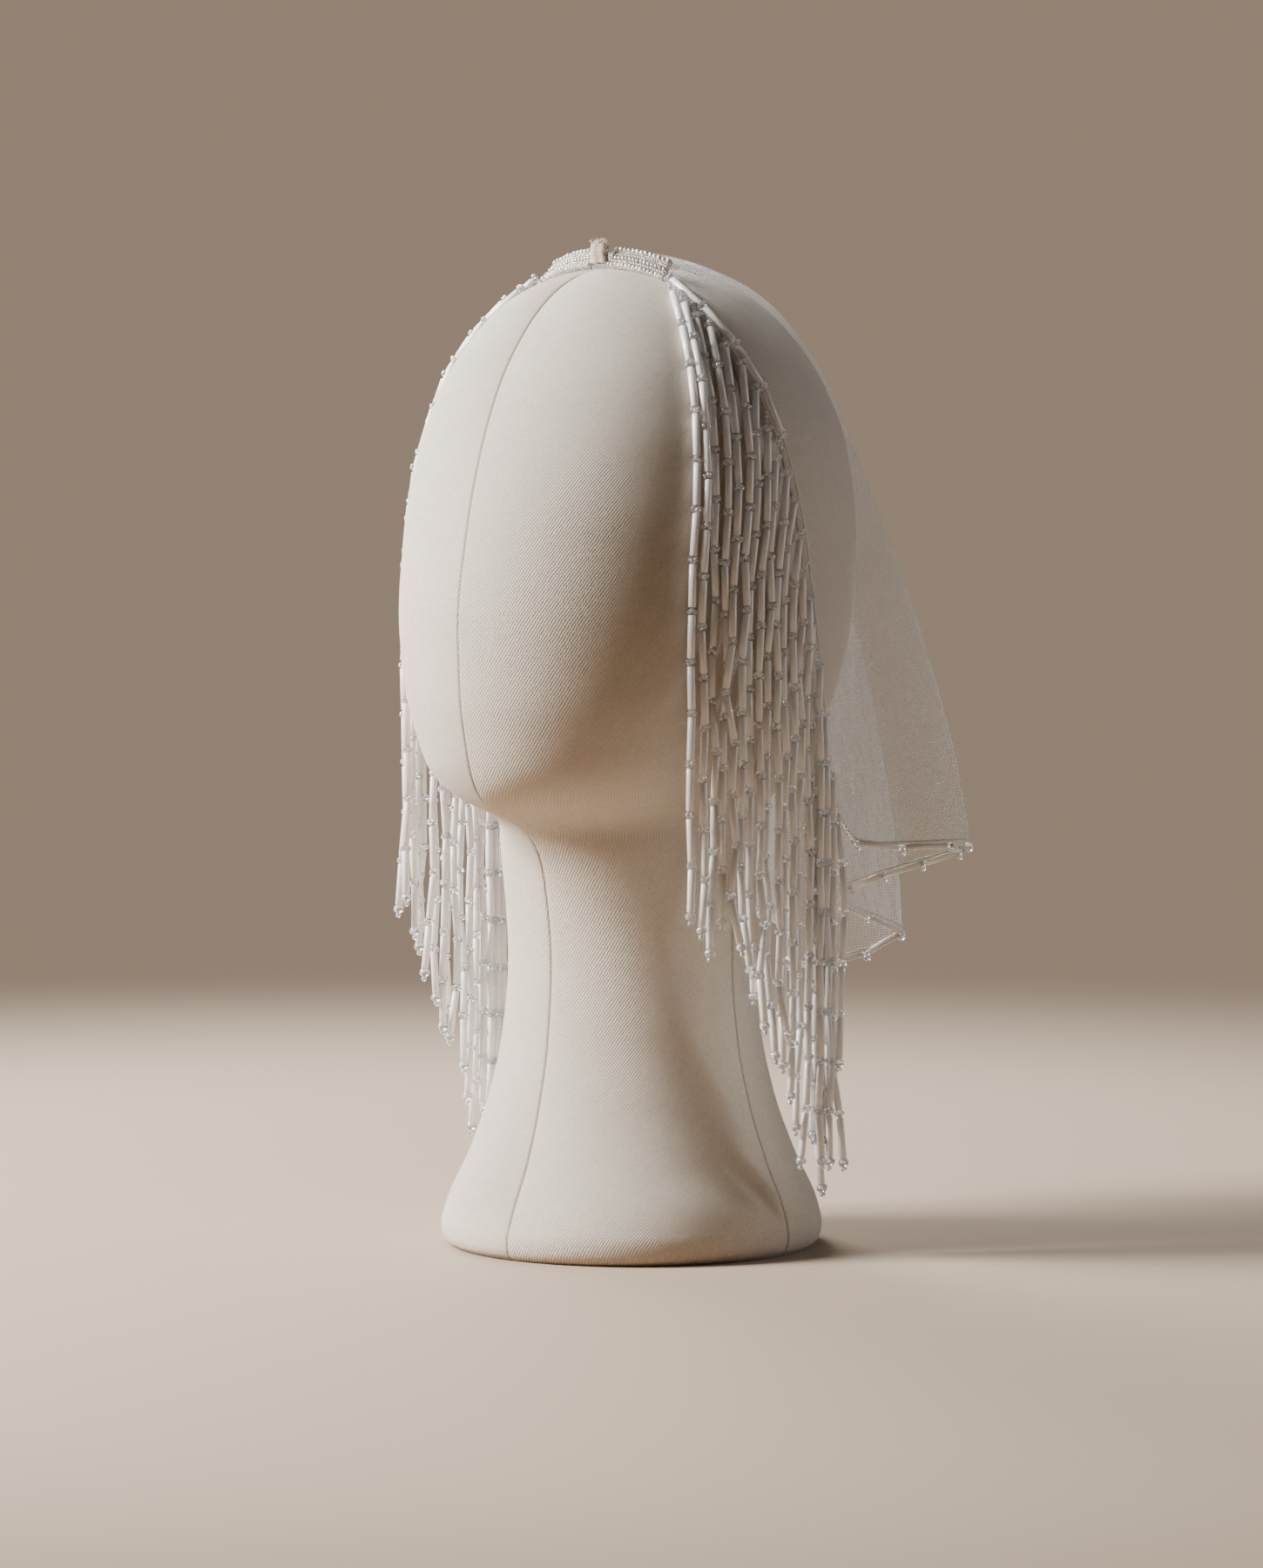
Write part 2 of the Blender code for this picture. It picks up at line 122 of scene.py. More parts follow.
def easedSlopes(keys, values):
    # slopes of a curve that never overshoots its rows
    steps = np.diff(keys)
    slopes = np.diff(values) / steps
    inner = np.zeros(len(slopes) - 1)
    for i in range(1, len(slopes)):
        before, after = slopes[i - 1], slopes[i]
        if before * after > 0.0:
            near, far = 2 * steps[i] + steps[i - 1], steps[i] + 2 * steps[i - 1]
            inner[i - 1] = (near + far) / (near / before + far / after)
    return np.concatenate([slopes[:1], inner, slopes[-1:]])


def hermite(keys, values, slopes, at):
    at = np.clip(at, keys[0], keys[-1])
    i = np.clip(np.searchsorted(keys, at + 1e-9, side="right") - 1, 0, len(keys) - 2)
    span = keys[i + 1] - keys[i]
    t = (at - keys[i]) / span
    return (
        (2 * t**3 - 3 * t**2 + 1) * values[i]
        + (t**3 - 2 * t**2 + t) * span * slopes[i]
        + (3 * t**2 - 2 * t**3) * values[i + 1]
        + (t**3 - t**2) * span * slopes[i + 1]
    )


def eased(table, column, at):
    keys, values = table[:, 0], table[:, column]
    return hermite(keys, values, easedSlopes(keys, values), at)


def rounded(table, column, at):
    # smooth curve that rounds each row, mirrored at place 0
    keys, values = table[:, 0], table[:, column]
    mirror = -1.0 if column == 1 else 1.0
    keys = np.concatenate([[-keys[1]], keys, [2 * keys[-1] - keys[-2]]])
    values = np.concatenate([[mirror * values[1]], values, [2 * values[-1] - values[-2]]])
    slopes = (values[2:] - values[:-2]) / (keys[2:] - keys[:-2])
    return hermite(keys[1:-1], values[1:-1], slopes, at)


formHeights = np.arange(0.0, 387.01, 0.25)
formColumns = [eased(formTable, column, formHeights) for column in (1, 2, 3, 4)]
formTop = formTable[-1, 0]


def formSection(height):
    return [np.interp(height, formHeights, values) for values in formColumns]


def unit(vectors):
    return vectors / np.maximum(np.linalg.norm(vectors, axis=-1, keepdims=True), 1e-12)


def formPoint(angle, height):
    # angle runs from +X towards the back
    front, back, half, point = formSection(height)
    across, along = np.cos(angle), np.sin(angle)
    face = along < 0.0
    across = np.where(face, np.sign(across) * np.abs(across) ** point, across)
    depth = np.where(face, front, back) * along
    return np.stack([half * across, depth, height + 0.0 * across], axis=-1)


def formNormal(angle, height):
    top = np.minimum(height + 0.25, formTop)
    around = formPoint(angle + 0.01, height) - formPoint(angle - 0.01, height)
    upward = formPoint(angle, top) - formPoint(angle, top - 0.5)
    return unit(np.cross(around, upward))


def planLevel(x, y, height, lift):
    front, back, half, point = formSection(height)
    reach = np.where(y < 0.0, front, back) + lift
    return np.hypot(x / (half + lift), y / reach)


def planAngle(x, y, height):
    front, back, half, point = formSection(height)
    return np.arctan2(y / np.where(y < 0.0, front, back), x / half)


widest = 270.0


def domeHeight(x, y):
    low, high = widest + 0.0 * x, formTop + 0.0 * x
    for _ in range(40):
        middle = (low + high) / 2
        inside = planLevel(x, y, middle, 0.0) < 1.0
        low, high = np.where(inside, middle, low), np.where(inside, high, middle)
    return low


def aboveDome(x, y, lift):
    height = domeHeight(x, y)
    level = planLevel(x, y, height, 0.0)
    normal = formNormal(planAngle(x, y, height), height)
    cap = np.minimum(1.0, level**4)[..., None]
    normal = unit(normal * cap + np.array([0.0, 0.0, 1.0]) * (1.0 - cap))
    foot = np.stack([x + 0.0 * height, y + 0.0 * height, height], axis=-1)
    return foot + normal * np.asarray(lift)[..., None]


band = {
    "halfLength": 30.0,
    "width": 9.0,
    "thick": 2.2,
    "lean": math.radians(42.0),
    "front": -21.0,
    "sweep": 3.0,
    "loopWidth": 8.4,
    "loopDepth": 4.2,
    "loopTall": 8.4,
    "beadSize": 1.45,
    "plies": 7,
    "fray": 90,
}

# bead rows of the band, from its foot: height up the band in mm, size, slant of the beads
bandRows = [
    (0.7, 1.3, 0.1),
    (2.4, 0.8, 0.0),
    (4.1, 1.25, 0.7),
    (5.8, 0.8, 0.0),
    (7.0, 0.7, 0.3),
    (8.3, 1.45, 0.8),
]


def bandFront(x):
    return band["front"] + band["sweep"] * (x / band["halfLength"]) ** 2


bandUp = np.array([0.0, math.sin(band["lean"]), math.cos(band["lean"])])
bandBack = np.array([0.0, math.cos(band["lean"]), -math.sin(band["lean"])])


def bandFoot(x):
    lift = band["thick"] * math.sin(band["lean"]) + 2 * gap
    return aboveDome(x, bandFront(x), 0.0 * x) + np.array([0.0, 0.0, lift])


veil = {
    "lift": 1.9,
    "topLiftAngle": math.radians(16.0),
    "leavesDome": 345.0,
    "topX": 31.0,
    "endTurn": 0.86,
    "edgeBow": 7.0,
    "edgeAngle": 1.0,
    "fanPower": 1.63,
    "halfColumns": 150,
    "domeRows": 30,
    "hangRows": 60,
    "netPitch": 0.00105,
    "flat": (0.49, 0.36),
    "flatArea": 0.096,
}


def clothTop(side):
    along = np.minimum(1.0, side / veil["endTurn"])
    x = veil["topX"] * along
    behind = bandFoot(x) + bandUp * (band["width"] - 1.5) + bandBack * (band["thick"] + 0.8)
    turned = np.maximum(0.0, (side - veil["endTurn"]) / (1.0 - veil["endTurn"]))[..., None]
    beyond = veil["topX"] + 1.4 + 0.0 * x
    front = aboveDome(beyond, bandFront(x) + 2.0, veil["lift"] + 0.0 * x)
    return behind * (1.0 - turned) + front * turned


def clothGrid(sides, domeRows, hangRows):
    # points of the cloth from the band to the hem, one row of the result for each side value
    top = clothTop(sides)
    angle = np.radians(90.0 - (90.0 - veil["edgeAngle"]) * sides ** veil["fanPower"])
    reach = formPoint(angle, widest + 12.0 + 0.0 * angle)
    rise = np.linalg.norm(top - aboveDome(top[:, 0], top[:, 1], 0.0 * angle), axis=-1) - veil["lift"]

    def dome(turn):
        along = np.sin(turn)
        x = top[:, 0] + (reach[:, 0] - top[:, 0]) * along
        y = top[:, 1] + (reach[:, 1] - top[:, 1]) * along
        y = y - veil["edgeBow"] * sides**3 * np.sin(np.pi * along)
        lift = veil["lift"] + rise * np.exp(-((turn / veil["topLiftAngle"]) ** 2))
        return aboveDome(x, y, lift)

    low, high = 0.0 * angle, math.pi / 2 + 0.0 * angle
    for _ in range(30):
        middle = (low + high) / 2
        above = dome(middle)[:, 2] > veil["leavesDome"]
        low, high = np.where(above, middle, low), np.where(above, high, middle)
    rows = [top] + [dome(low * row / domeRows) for row in range(1, domeRows + 1)]

    leave = rows[-1]
    hem = np.stack([rounded(hemTable, column, sides) for column in (1, 2, 3)], axis=-1)
    bell = rounded(hemTable, 4, sides)
    hemLevel = planLevel(hem[:, 0], hem[:, 1], widest + 0.0 * angle, veil["lift"])
    for row in range(1, hangRows + 1):
        drop = row / hangRows
        height = leave[:, 2] + (hem[:, 2] - leave[:, 2]) * drop
        share = 1.0 - (1.0 - drop) ** bell
        x = leave[:, 0] + (hem[:, 0] - leave[:, 0]) * share
        y = leave[:, 1] + (hem[:, 1] - leave[:, 1]) * share
        below = np.maximum(0.0, (widest - height) / (widest - hem[:, 2]))
        least = 1.0 + np.minimum(0.0, hemLevel - 1.0) * below
        level = planLevel(x, y, np.maximum(height, widest), veil["lift"])
        push = np.maximum(1.0, least / level)
        rows.append(np.stack([x * push, y * push, height], axis=-1))
    return np.stack(rows, axis=1)


def resampled(points, distances):
    # points of a line at distances along it
    points = np.asarray(points)
    steps = np.linalg.norm(np.diff(points, axis=0), axis=1)
    lengths = np.concatenate([[0.0], np.cumsum(steps)])
    distances = np.clip(distances, 0.0, lengths[-1])
    found = [np.interp(distances, lengths, points[:, axis]) for axis in range(3)]
    return np.stack(found, axis=-1), lengths[-1]


def lineLength(points):
    return float(np.linalg.norm(np.diff(points, axis=0), axis=1).sum())


def edgeFrames(edge):
    # the way off the cloth and the way outward at each point of the front edge
    ahead = unit(np.concatenate([edge[1:2] - edge[:1], edge[2:] - edge[:-2], edge[-1:] - edge[-2:-1]]))
    outward = edge.copy()
    outward[:, 2] = np.maximum(0.0, edge[:, 2] - widest)
    outward = unit(outward - ahead * np.sum(outward * ahead, axis=1, keepdims=True))
    return unit(np.cross(ahead, outward)), outward


fringe = {
    "strands": 22,
    "domeStrands": 14,
    "strip": 3.0,
    "stripSpare": 0.1,
    "stripRaise": 0.4,
    "lift": 3.1,
    "outerRaise": 1.2,
    "pitch": 20.0,
    "endBead": 4.0,
    "plumbHeight": 270.0,
    "firstPlumbAngle": -30.0,
    "domeLastAngle": 2.4,
    "innerForward": 2.8,
    "innerOutward": 0.4,
    "outerForward": 2.0,
    "outerOutward": 4.1,
    "linkDrop": 7.0,
    "rootCrowding": 1.22,
    "rootLead": 2.0,
    "turnPower": 0.8,
    "pathStep": 22.0,
    "domeEdgeEnd": 258.0,
    "edgeMargin": 3.0,
    "kink": 0.7,
    "looseKink": 1.6,
    "looseOut": (0.0, 2.2),
    "leadBeads": 4,
    "looseStrands": (0, 4),
    "endLean": 3.2,
    "edgeBugles": 4,
    "cornerChain": 13.0,
}

beads = {
    "bugleLength": 17.0,
    "bugleRadius": 1.5,
    "boreRadius": 0.55,
    "bugleSides": 12,
    "jointBead": 1.1,
    "jointRing": 1.25,
    "jointCount": 4,
    "jointSpread": 0.35,
    "endBead": 2.1,
    "endRibs": 8,
    "tipBead": 1.15,
}


def strandPath(k, root, forward):
    share = k / (fringe["strands"] - 1)
    endHeight = float(eased(endTable, 1, share))
    path = [root]
    if k < fringe["domeStrands"]:
        turn = fringe["domeLastAngle"] - fringe["firstPlumbAngle"]
        plumbAngle = math.radians(fringe["firstPlumbAngle"] + turn * k / (fringe["domeStrands"] - 1))
        layer = fringe["lift"] + (fringe["outerRaise"] if k % 2 else 0.0)
        plumbHeight = fringe["plumbHeight"]
        plumb = formPoint(plumbAngle, plumbHeight) + formNormal(plumbAngle, plumbHeight) * layer
        start = root + forward * fringe["rootLead"]
        startAngle = float(planAngle(start[0], start[1], min(start[2], 386.0)))
        plumb[2] = min(plumbHeight, start[2] - fringe["linkDrop"])
        steps = max(1, math.ceil((start[2] - plumb[2]) / fringe["pathStep"]))
        for step in range(1, steps):
            fall = math.sin(math.pi / 2 * step / steps) ** 2
            height = start[2] + (plumb[2] - start[2]) * fall
            angle = startAngle + (plumbAngle - startAngle) * (step / steps) ** fringe["turnPower"]
            path.append(formPoint(angle, height) + formNormal(angle, height) * layer)
    else:
        outer = k % 2 == 1
        plumb = root + forward * (fringe["outerForward"] if outer else fringe["innerForward"])
        outward = fringe["outerOutward"] if outer else fringe["innerOutward"]
        plumb = np.array([plumb[0] + outward, plumb[1], root[2] - fringe["linkDrop"]])
    path.append(plumb)
    path = np.array(path)
    laid = float(np.linalg.norm(np.diff(path, axis=0), axis=1).sum())
    bugles = round((laid + plumb[2] - endHeight) / fringe["pitch"])
    hanging = fringe["pitch"] * bugles + fringe["endBead"] - laid
    end = np.array([plumb[0], plumb[1], plumb[2] - hanging])
    return np.concatenate([path, end[None]]), bugles


def strandRoots(edge):
    # the line that the strands start from, and the place and direction of each root
    forward, outward = edgeFrames(edge)
    reach = gap + fringe["strip"] / 2 + fringe["stripSpare"]
    line = edge + forward * reach + outward * fringe["stripRaise"]
    total = resampled(line, [0.0])[1]
    probes = np.linspace(0.0, total, 201)
    probed = resampled(line, probes)[0]
    domeEnd = probes[probed[:, 2] > fringe["domeEdgeEnd"]].max()
    margin, count, domeCount = fringe["edgeMargin"], fringe["strands"], fringe["domeStrands"]
    places = []
    for k in range(count):
        if k < domeCount:
            places.append(margin + (domeEnd - margin) * (k / (domeCount - 1)) ** fringe["rootCrowding"])
        else:
            places.append(domeEnd + (total - margin - domeEnd) * (k - domeCount + 1) / (count - domeCount))
    stations = np.array([[place - 1.2, place + 1.2] for place in places]).ravel()
    around = resampled(line, stations)[0]
    forward = edgeFrames(around)[0]
    middles = (around[0::2] + around[1::2]) / 2
    return line, middles + forward[0::2] * fringe["strip"] / 2, forward[0::2]


# node groups shared by the finishes
def newGroup(name, inputs, outputs):
    group = bpy.data.node_groups.new(name, "ShaderNodeTree")
    for label, kind, value in inputs:
        socket = group.interface.new_socket(name=label, in_out="INPUT", socket_type=kind)
        if value is not None:
            socket.default_value = value
    for label, kind in outputs:
        group.interface.new_socket(name=label, in_out="OUTPUT", socket_type=kind)
    return group, group.nodes.new("NodeGroupInput"), group.nodes.new("NodeGroupOutput")


def mathNode(tree, operation, first, second=None, third=None):
    node = tree.nodes.new("ShaderNodeMath")
    node.operation = operation
    for socket, value in zip(node.inputs, (first, second, third)):
        if value is None:
            continue
        if isinstance(value, (int, float)):
            socket.default_value = value
        else:
            tree.links.new(value, socket)
    return node.outputs[0]


def buildThreadSet():
    # one set of round parallel threads, counted across them
    group, given, out = newGroup(
        "threadSet",
        [
            ("Vector", "NodeSocketVector", None),
            ("Across", "NodeSocketVector", (0.7071, 0.7071, 0.0)),
            ("Pitch", "NodeSocketFloat", 0.001),
            ("Thread", "NodeSocketFloat", 0.4),
            ("Waver", "NodeSocketFloat", 0.1),
        ],
        [("Cover", "NodeSocketFloat"), ("Height", "NodeSocketFloat")],
    )
    noise = group.nodes.new("ShaderNodeTexNoise")
    noise.inputs["Scale"].default_value = 140.0
    noise.inputs["Detail"].default_value = 2.0
    group.links.new(given.outputs["Vector"], noise.inputs["Vector"])
    measure = group.nodes.new("ShaderNodeVectorMath")
    measure.operation = "DOT_PRODUCT"
    group.links.new(given.outputs["Vector"], measure.inputs[0])
    group.links.new(given.outputs["Across"], measure.inputs[1])
    sway = mathNode(group, "SUBTRACT", noise.outputs["Fac"], 0.5)
    sway = mathNode(group, "MULTIPLY", sway, given.outputs["Waver"])
    turns = mathNode(group, "DIVIDE", measure.outputs["Value"], given.outputs["Pitch"])
    turns = mathNode(group, "ADD", turns, sway)
    wave = mathNode(group, "MULTIPLY", mathNode(group, "PINGPONG", turns, 0.5), 2.0)
    rim = mathNode(group, "SUBTRACT", 1.0, given.outputs["Thread"])
    rise = mathNode(group, "DIVIDE", mathNode(group, "SUBTRACT", wave, rim), given.outputs["Thread"])
    rise = mathNode(group, "MAXIMUM", rise, 0.0)
    height = mathNode(group, "POWER", rise, 0.5)
    cover = mathNode(group, "GREATER_THAN", rise, 0.02)
    group.links.new(cover, out.inputs["Cover"])
    group.links.new(height, out.inputs["Height"])
    return group


def buildMottle():
    # slow uneven patches, between two values
    group, given, out = newGroup(
        "softMottle",
        [
            ("Vector", "NodeSocketVector", None),
            ("Scale", "NodeSocketFloat", 40.0),
            ("Low", "NodeSocketFloat", 0.9),
            ("High", "NodeSocketFloat", 1.0),
        ],
        [("Value", "NodeSocketFloat")],
    )
    noise = group.nodes.new("ShaderNodeTexNoise")
    noise.inputs["Detail"].default_value = 4.0
    noise.inputs["Roughness"].default_value = 0.6
    group.links.new(given.outputs["Vector"], noise.inputs["Vector"])
    group.links.new(given.outputs["Scale"], noise.inputs["Scale"])
    spread = group.nodes.new("ShaderNodeMapRange")
    spread.inputs["From Min"].default_value = 0.3
    spread.inputs["From Max"].default_value = 0.7
    group.links.new(noise.outputs["Fac"], spread.inputs["Value"])
    group.links.new(given.outputs["Low"], spread.inputs["To Min"])
    group.links.new(given.outputs["High"], spread.inputs["To Max"])
    group.links.new(spread.outputs["Result"], out.inputs["Value"])
    return group


threadSet = buildThreadSet()
softMottle = buildMottle()


def newFinish(name, colour, roughness):
    made = bpy.data.materials.new(name)
    made.use_nodes = True
    made.diffuse_color = (*colour, 1.0)
    shader = made.node_tree.nodes["Principled BSDF"]
    shader.inputs["Base Color"].default_value = (*colour, 1.0)
    shader.inputs["Roughness"].default_value = roughness
    return made, made.node_tree, shader


def placeGroup(tree, group, vector, **values):
    node = tree.nodes.new("ShaderNodeGroup")
    node.node_tree = group
    tree.links.new(vector, node.inputs["Vector"])
    for label, value in values.items():
        node.inputs[label].default_value = value
    return node


def threadRow(tree, vector, across, pitch, thread, waver):
    return placeGroup(tree, threadSet, vector, Across=across, Pitch=pitch, Thread=thread, Waver=waver)


def uvSocket(tree, name):
    node = tree.nodes.new("ShaderNodeUVMap")
    node.uv_map = name
    return node.outputs["UV"]


def objectSocket(tree):
    return tree.nodes.new("ShaderNodeTexCoord").outputs["Object"]


def tinted(tree, factor, dark, light):
    mix = tree.nodes.new("ShaderNodeMix")
    mix.data_type = "RGBA"
    mix.inputs["A"].default_value = (*dark, 1.0)
    mix.inputs["B"].default_value = (*light, 1.0)
    tree.links.new(factor, mix.inputs["Factor"])
    return mix.outputs["Result"]


def bumped(tree, shader, height, strength, distance):
    bump = tree.nodes.new("ShaderNodeBump")
    bump.inputs["Strength"].default_value = strength
    bump.inputs["Distance"].default_value = distance
    tree.links.new(height, bump.inputs["Height"])
    tree.links.new(bump.outputs["Normal"], shader.inputs["Normal"])


def linenFinish():
    # slanted ribs broken by fine level threads, with slubs and faint patches; the colour also carries painted
    # shade between the threads and along the sunk seams
    made, tree, shader = newFinish("linenTwill", (0.72, 0.66, 0.57), 0.9)
    vector = uvSocket(tree, "clothUV")
    rib = threadRow(tree, vector, (-0.839, 0.545, 0.0), 0.00105, 0.95, 0.9)
    level = threadRow(tree, vector, (0.0, 1.0, 0.0), 0.00056, 0.9, 0.8)
    upright = threadRow(tree, vector, (1.0, 0.0, 0.0), 0.0006, 0.9, 0.8)
    patches = placeGroup(tree, softMottle, objectSocket(tree), Scale=28.0, Low=0.0, High=1.0)
    slub = placeGroup(tree, softMottle, vector, Scale=700.0, Low=0.0, High=1.0)
    threads = mathNode(tree, "MULTIPLY", rib.outputs["Height"], 0.6)
    threads = mathNode(tree, "MULTIPLY_ADD", level.outputs["Height"], 0.22, threads)
    threads = mathNode(tree, "MULTIPLY_ADD", upright.outputs["Height"], 0.18, threads)
    thick = placeGroup(tree, softMottle, vector, Scale=240.0, Low=0.0, High=1.0)
    tone = mathNode(tree, "MULTIPLY", patches.outputs["Value"], 0.08)
    tone = mathNode(tree, "MULTIPLY_ADD", thick.outputs["Value"], 0.1, tone)
    tone = mathNode(tree, "MULTIPLY_ADD", slub.outputs["Value"], 0.2, tone)
    # painted shade: the thread relief makes the colour darker between the threads, on top of the real slubs and
    # patches
    tone = mathNode(tree, "MULTIPLY_ADD", threads, 0.62, tone)
    # painted shade: the colour is darker along the sunk seam lines
    seam = tree.nodes.new("ShaderNodeAttribute")
    seam.attribute_name = "seam"
    tone = mathNode(tree, "MULTIPLY_ADD", seam.outputs["Fac"], -0.7, tone)
    tree.links.new(tinted(tree, tone, (0.43, 0.35, 0.27), (0.92, 0.87, 0.79)), shader.inputs["Base Color"])
    height = mathNode(tree, "MULTIPLY_ADD", slub.outputs["Value"], 0.3, threads)
    bumped(tree, shader, height, 0.85, 0.0003)
    shader.inputs["Sheen Weight"].default_value = 0.15
    shader.inputs["Sheen Roughness"].default_value = 0.5
    shader.inputs["Specular IOR Level"].default_value = 0.25
    return made


def netFinish():
    # open diamond net: round threads on both slants, clear between them; the thread colour is painted darker
    # towards the thread edges as painted shade
    made, tree, shader = newFinish("netMesh", (0.82, 0.83, 0.84), 0.85)
    vector = uvSocket(tree, "clothUV")
    rising = threadRow(tree, vector, (0.7071, 0.7071, 0.0), veil["netPitch"], 0.26, 0.12)
    falling = threadRow(tree, vector, (0.7071, -0.7071, 0.0), veil["netPitch"], 0.26, 0.12)
    patches = placeGroup(tree, softMottle, vector, Scale=30.0, Low=0.86, High=1.0)
    height = mathNode(tree, "MAXIMUM", rising.outputs["Height"], falling.outputs["Height"])
    cover = mathNode(tree, "MAXIMUM", rising.outputs["Cover"], falling.outputs["Cover"])
    # painted shade: the thread height darkens the colour on the threads' sides; the patches are the net's own
    # uneven tint
    tone = mathNode(tree, "MULTIPLY", height, patches.outputs["Value"])
    tree.links.new(tinted(tree, tone, (0.78, 0.80, 0.82), (0.95, 0.96, 0.97)), shader.inputs["Base Color"])
    tree.links.new(mathNode(tree, "MULTIPLY", cover, 0.97), shader.inputs["Alpha"])
    bumped(tree, shader, height, 1.0, 0.00012)
    shader.inputs["Transmission Weight"].default_value = 0.6
    shader.inputs["IOR"].default_value = 1.08
    shader.inputs["Sheen Weight"].default_value = 0.25
    shader.inputs["Sheen Roughness"].default_value = 0.4
    return made


def tapeFinish():
    made, tree, shader = newFinish("netTape", (0.66, 0.56, 0.45), 0.85)
    vector = objectSocket(tree)
    weave = threadRow(tree, vector, (0.6, 0.3, 0.74), 0.0007, 0.7, 0.5)
    weft = threadRow(tree, vector, (0.6, 0.3, -0.74), 0.0007, 0.7, 0.5)
    height = mathNode(tree, "MAXIMUM", weave.outputs["Height"], weft.outputs["Height"])
    patches = placeGroup(tree, softMottle, vector, Scale=400.0, Low=0.5, High=1.0)
    # painted shade: the thread height makes the colour darker between the threads; the patches are the tape's
    # own uneven tint
    tone = mathNode(tree, "MULTIPLY", height, patches.outputs["Value"])
    tree.links.new(tinted(tree, tone, (0.38, 0.30, 0.23), (0.72, 0.64, 0.54)), shader.inputs["Base Color"])
    bumped(tree, shader, height, 0.8, 0.0003)
    shader.inputs["Sheen Weight"].default_value = 0.3
    shader.inputs["Subsurface Weight"].default_value = 0.5
    shader.inputs["Subsurface Radius"].default_value = (1.0, 0.8, 0.6)
    shader.inputs["Subsurface Scale"].default_value = 0.0012
    return made


def threadFinish():
    made, tree, shader = newFinish("pearlThread", (0.86, 0.85, 0.82), 0.45)
    patches = placeGroup(tree, softMottle, objectSocket(tree), Scale=2500.0, Low=0.0, High=1.0)
    colour = tinted(tree, patches.outputs["Value"], (0.7, 0.68, 0.65), (0.9, 0.89, 0.87))
    tree.links.new(colour, shader.inputs["Base Color"])
    bumped(tree, shader, patches.outputs["Value"], 0.5, 0.0001)
    return made


def satinGlassFinish():
    # white silk glass: fine streaks along the tube under a clear skin
    made, tree, shader = newFinish("satinGlass", (0.88, 0.88, 0.86), 0.32)
    spread = tree.nodes.new("ShaderNodeMapping")
    spread.inputs["Scale"].default_value = (26.0, 2.0, 1.0)
    tree.links.new(uvSocket(tree, "tubeUV"), spread.inputs["Vector"])
    streaks = placeGroup(tree, softMottle, spread.outputs["Vector"], Scale=1.0, Low=0.0, High=1.0)
    tone = tree.nodes.new("ShaderNodeAttribute")
    tone.attribute_name = "tone"
    shade = mathNode(tree, "MULTIPLY_ADD", streaks.outputs["Value"], 0.35, 0.0)
    shade = mathNode(tree, "MULTIPLY_ADD", tone.outputs["Fac"], 0.65, shade)
    colour = tinted(tree, shade, (0.84, 0.835, 0.825), (0.98, 0.98, 0.975))
    tree.links.new(colour, shader.inputs["Base Color"])
    rough = mathNode(tree, "MULTIPLY_ADD", streaks.outputs["Value"], 0.18, 0.24)
    tree.links.new(rough, shader.inputs["Roughness"])
    bumped(tree, shader, streaks.outputs["Value"], 0.12, 0.00008)
    shader.inputs["Coat Weight"].default_value = 0.7
    shader.inputs["Coat Roughness"].default_value = 0.06
    shader.inputs["Transmission Weight"].default_value = 0.06
    shader.inputs["Subsurface Weight"].default_value = 0.4
    shader.inputs["Subsurface Radius"].default_value = (1.0, 1.0, 1.0)
    shader.inputs["Subsurface Scale"].default_value = 0.0015
    shader.inputs["IOR"].default_value = 1.5
    return made


def clearGlassFinish():
    made, tree, shader = newFinish("clearGlass", (0.93, 0.96, 1.0), 0.02)
    patches = placeGroup(tree, softMottle, objectSocket(tree), Scale=700.0, Low=0.0, High=0.03)
    tree.links.new(patches.outputs["Value"], shader.inputs["Roughness"])
    shader.inputs["Transmission Weight"].default_value = 0.8
    shader.inputs["Coat Weight"].default_value = 1.0
    shader.inputs["Coat Roughness"].default_value = 0.0
    shader.inputs["IOR"].default_value = 1.52
    shader.inputs["Specular IOR Level"].default_value = 0.7
    return made


def seedGlassFinish():
    # silver-lined seed beads
    made, tree, shader = newFinish("silverSeed", (0.85, 0.85, 0.84), 0.12)
    tone = tree.nodes.new("ShaderNodeAttribute")
    tone.attribute_name = "tone"
    patches = placeGroup(tree, softMottle, objectSocket(tree), Scale=1500.0, Low=0.0, High=1.0)
    shade = mathNode(tree, "MULTIPLY_ADD", patches.outputs["Value"], 0.3, 0.0)
    shade = mathNode(tree, "MULTIPLY_ADD", tone.outputs["Fac"], 0.7, shade)
    tree.links.new(tinted(tree, shade, (0.50, 0.47, 0.42), (0.95, 0.95, 0.94)), shader.inputs["Base Color"])
    rough = mathNode(tree, "MULTIPLY_ADD", patches.outputs["Value"], 0.12, 0.08)
    tree.links.new(rough, shader.inputs["Roughness"])
    shader.inputs["Metallic"].default_value = 0.3
    shader.inputs["Coat Weight"].default_value = 0.9
    shader.inputs["Coat Roughness"].default_value = 0.03
    return made


linen = linenFinish()
net = netFinish()
netTape = tapeFinish()
pearlThread = threadFinish()
satinGlass = satinGlassFinish()
clearGlass = clearGlassFinish()
seedGlass = seedGlassFinish()
print("finishes made")


def addPiece(name, bm, finish, body="root"):
    mesh = bpy.data.meshes.new(name)
    bm.to_mesh(mesh)
    bm.free()
    mesh.shade_smooth()
    piece = bpy.data.objects.new(name, mesh)
    piece.data.materials.append(finish)
    bpy.context.scene.collection.objects.link(piece)
    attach(piece, body)
    return piece


def gridSheet(columns, rows, mark=None):
    # a flat grid, with each vertex's column and row; the vertices are then moved to their places
    bm = bmesh.new()
    bm.loops.layers.uv.new("clothUV")
    if mark:
        bm.verts.layers.float.new(mark)
    bmesh.ops.create_grid(bm, x_segments=columns - 1, y_segments=rows - 1, size=1.0, calc_uvs=True)
    places = {}
    for vert in bm.verts:
        column = round((vert.co.x + 1.0) / 2 * (columns - 1))
        row = round((vert.co.y + 1.0) / 2 * (rows - 1))
        places[vert] = (column, row)
    return bm, places


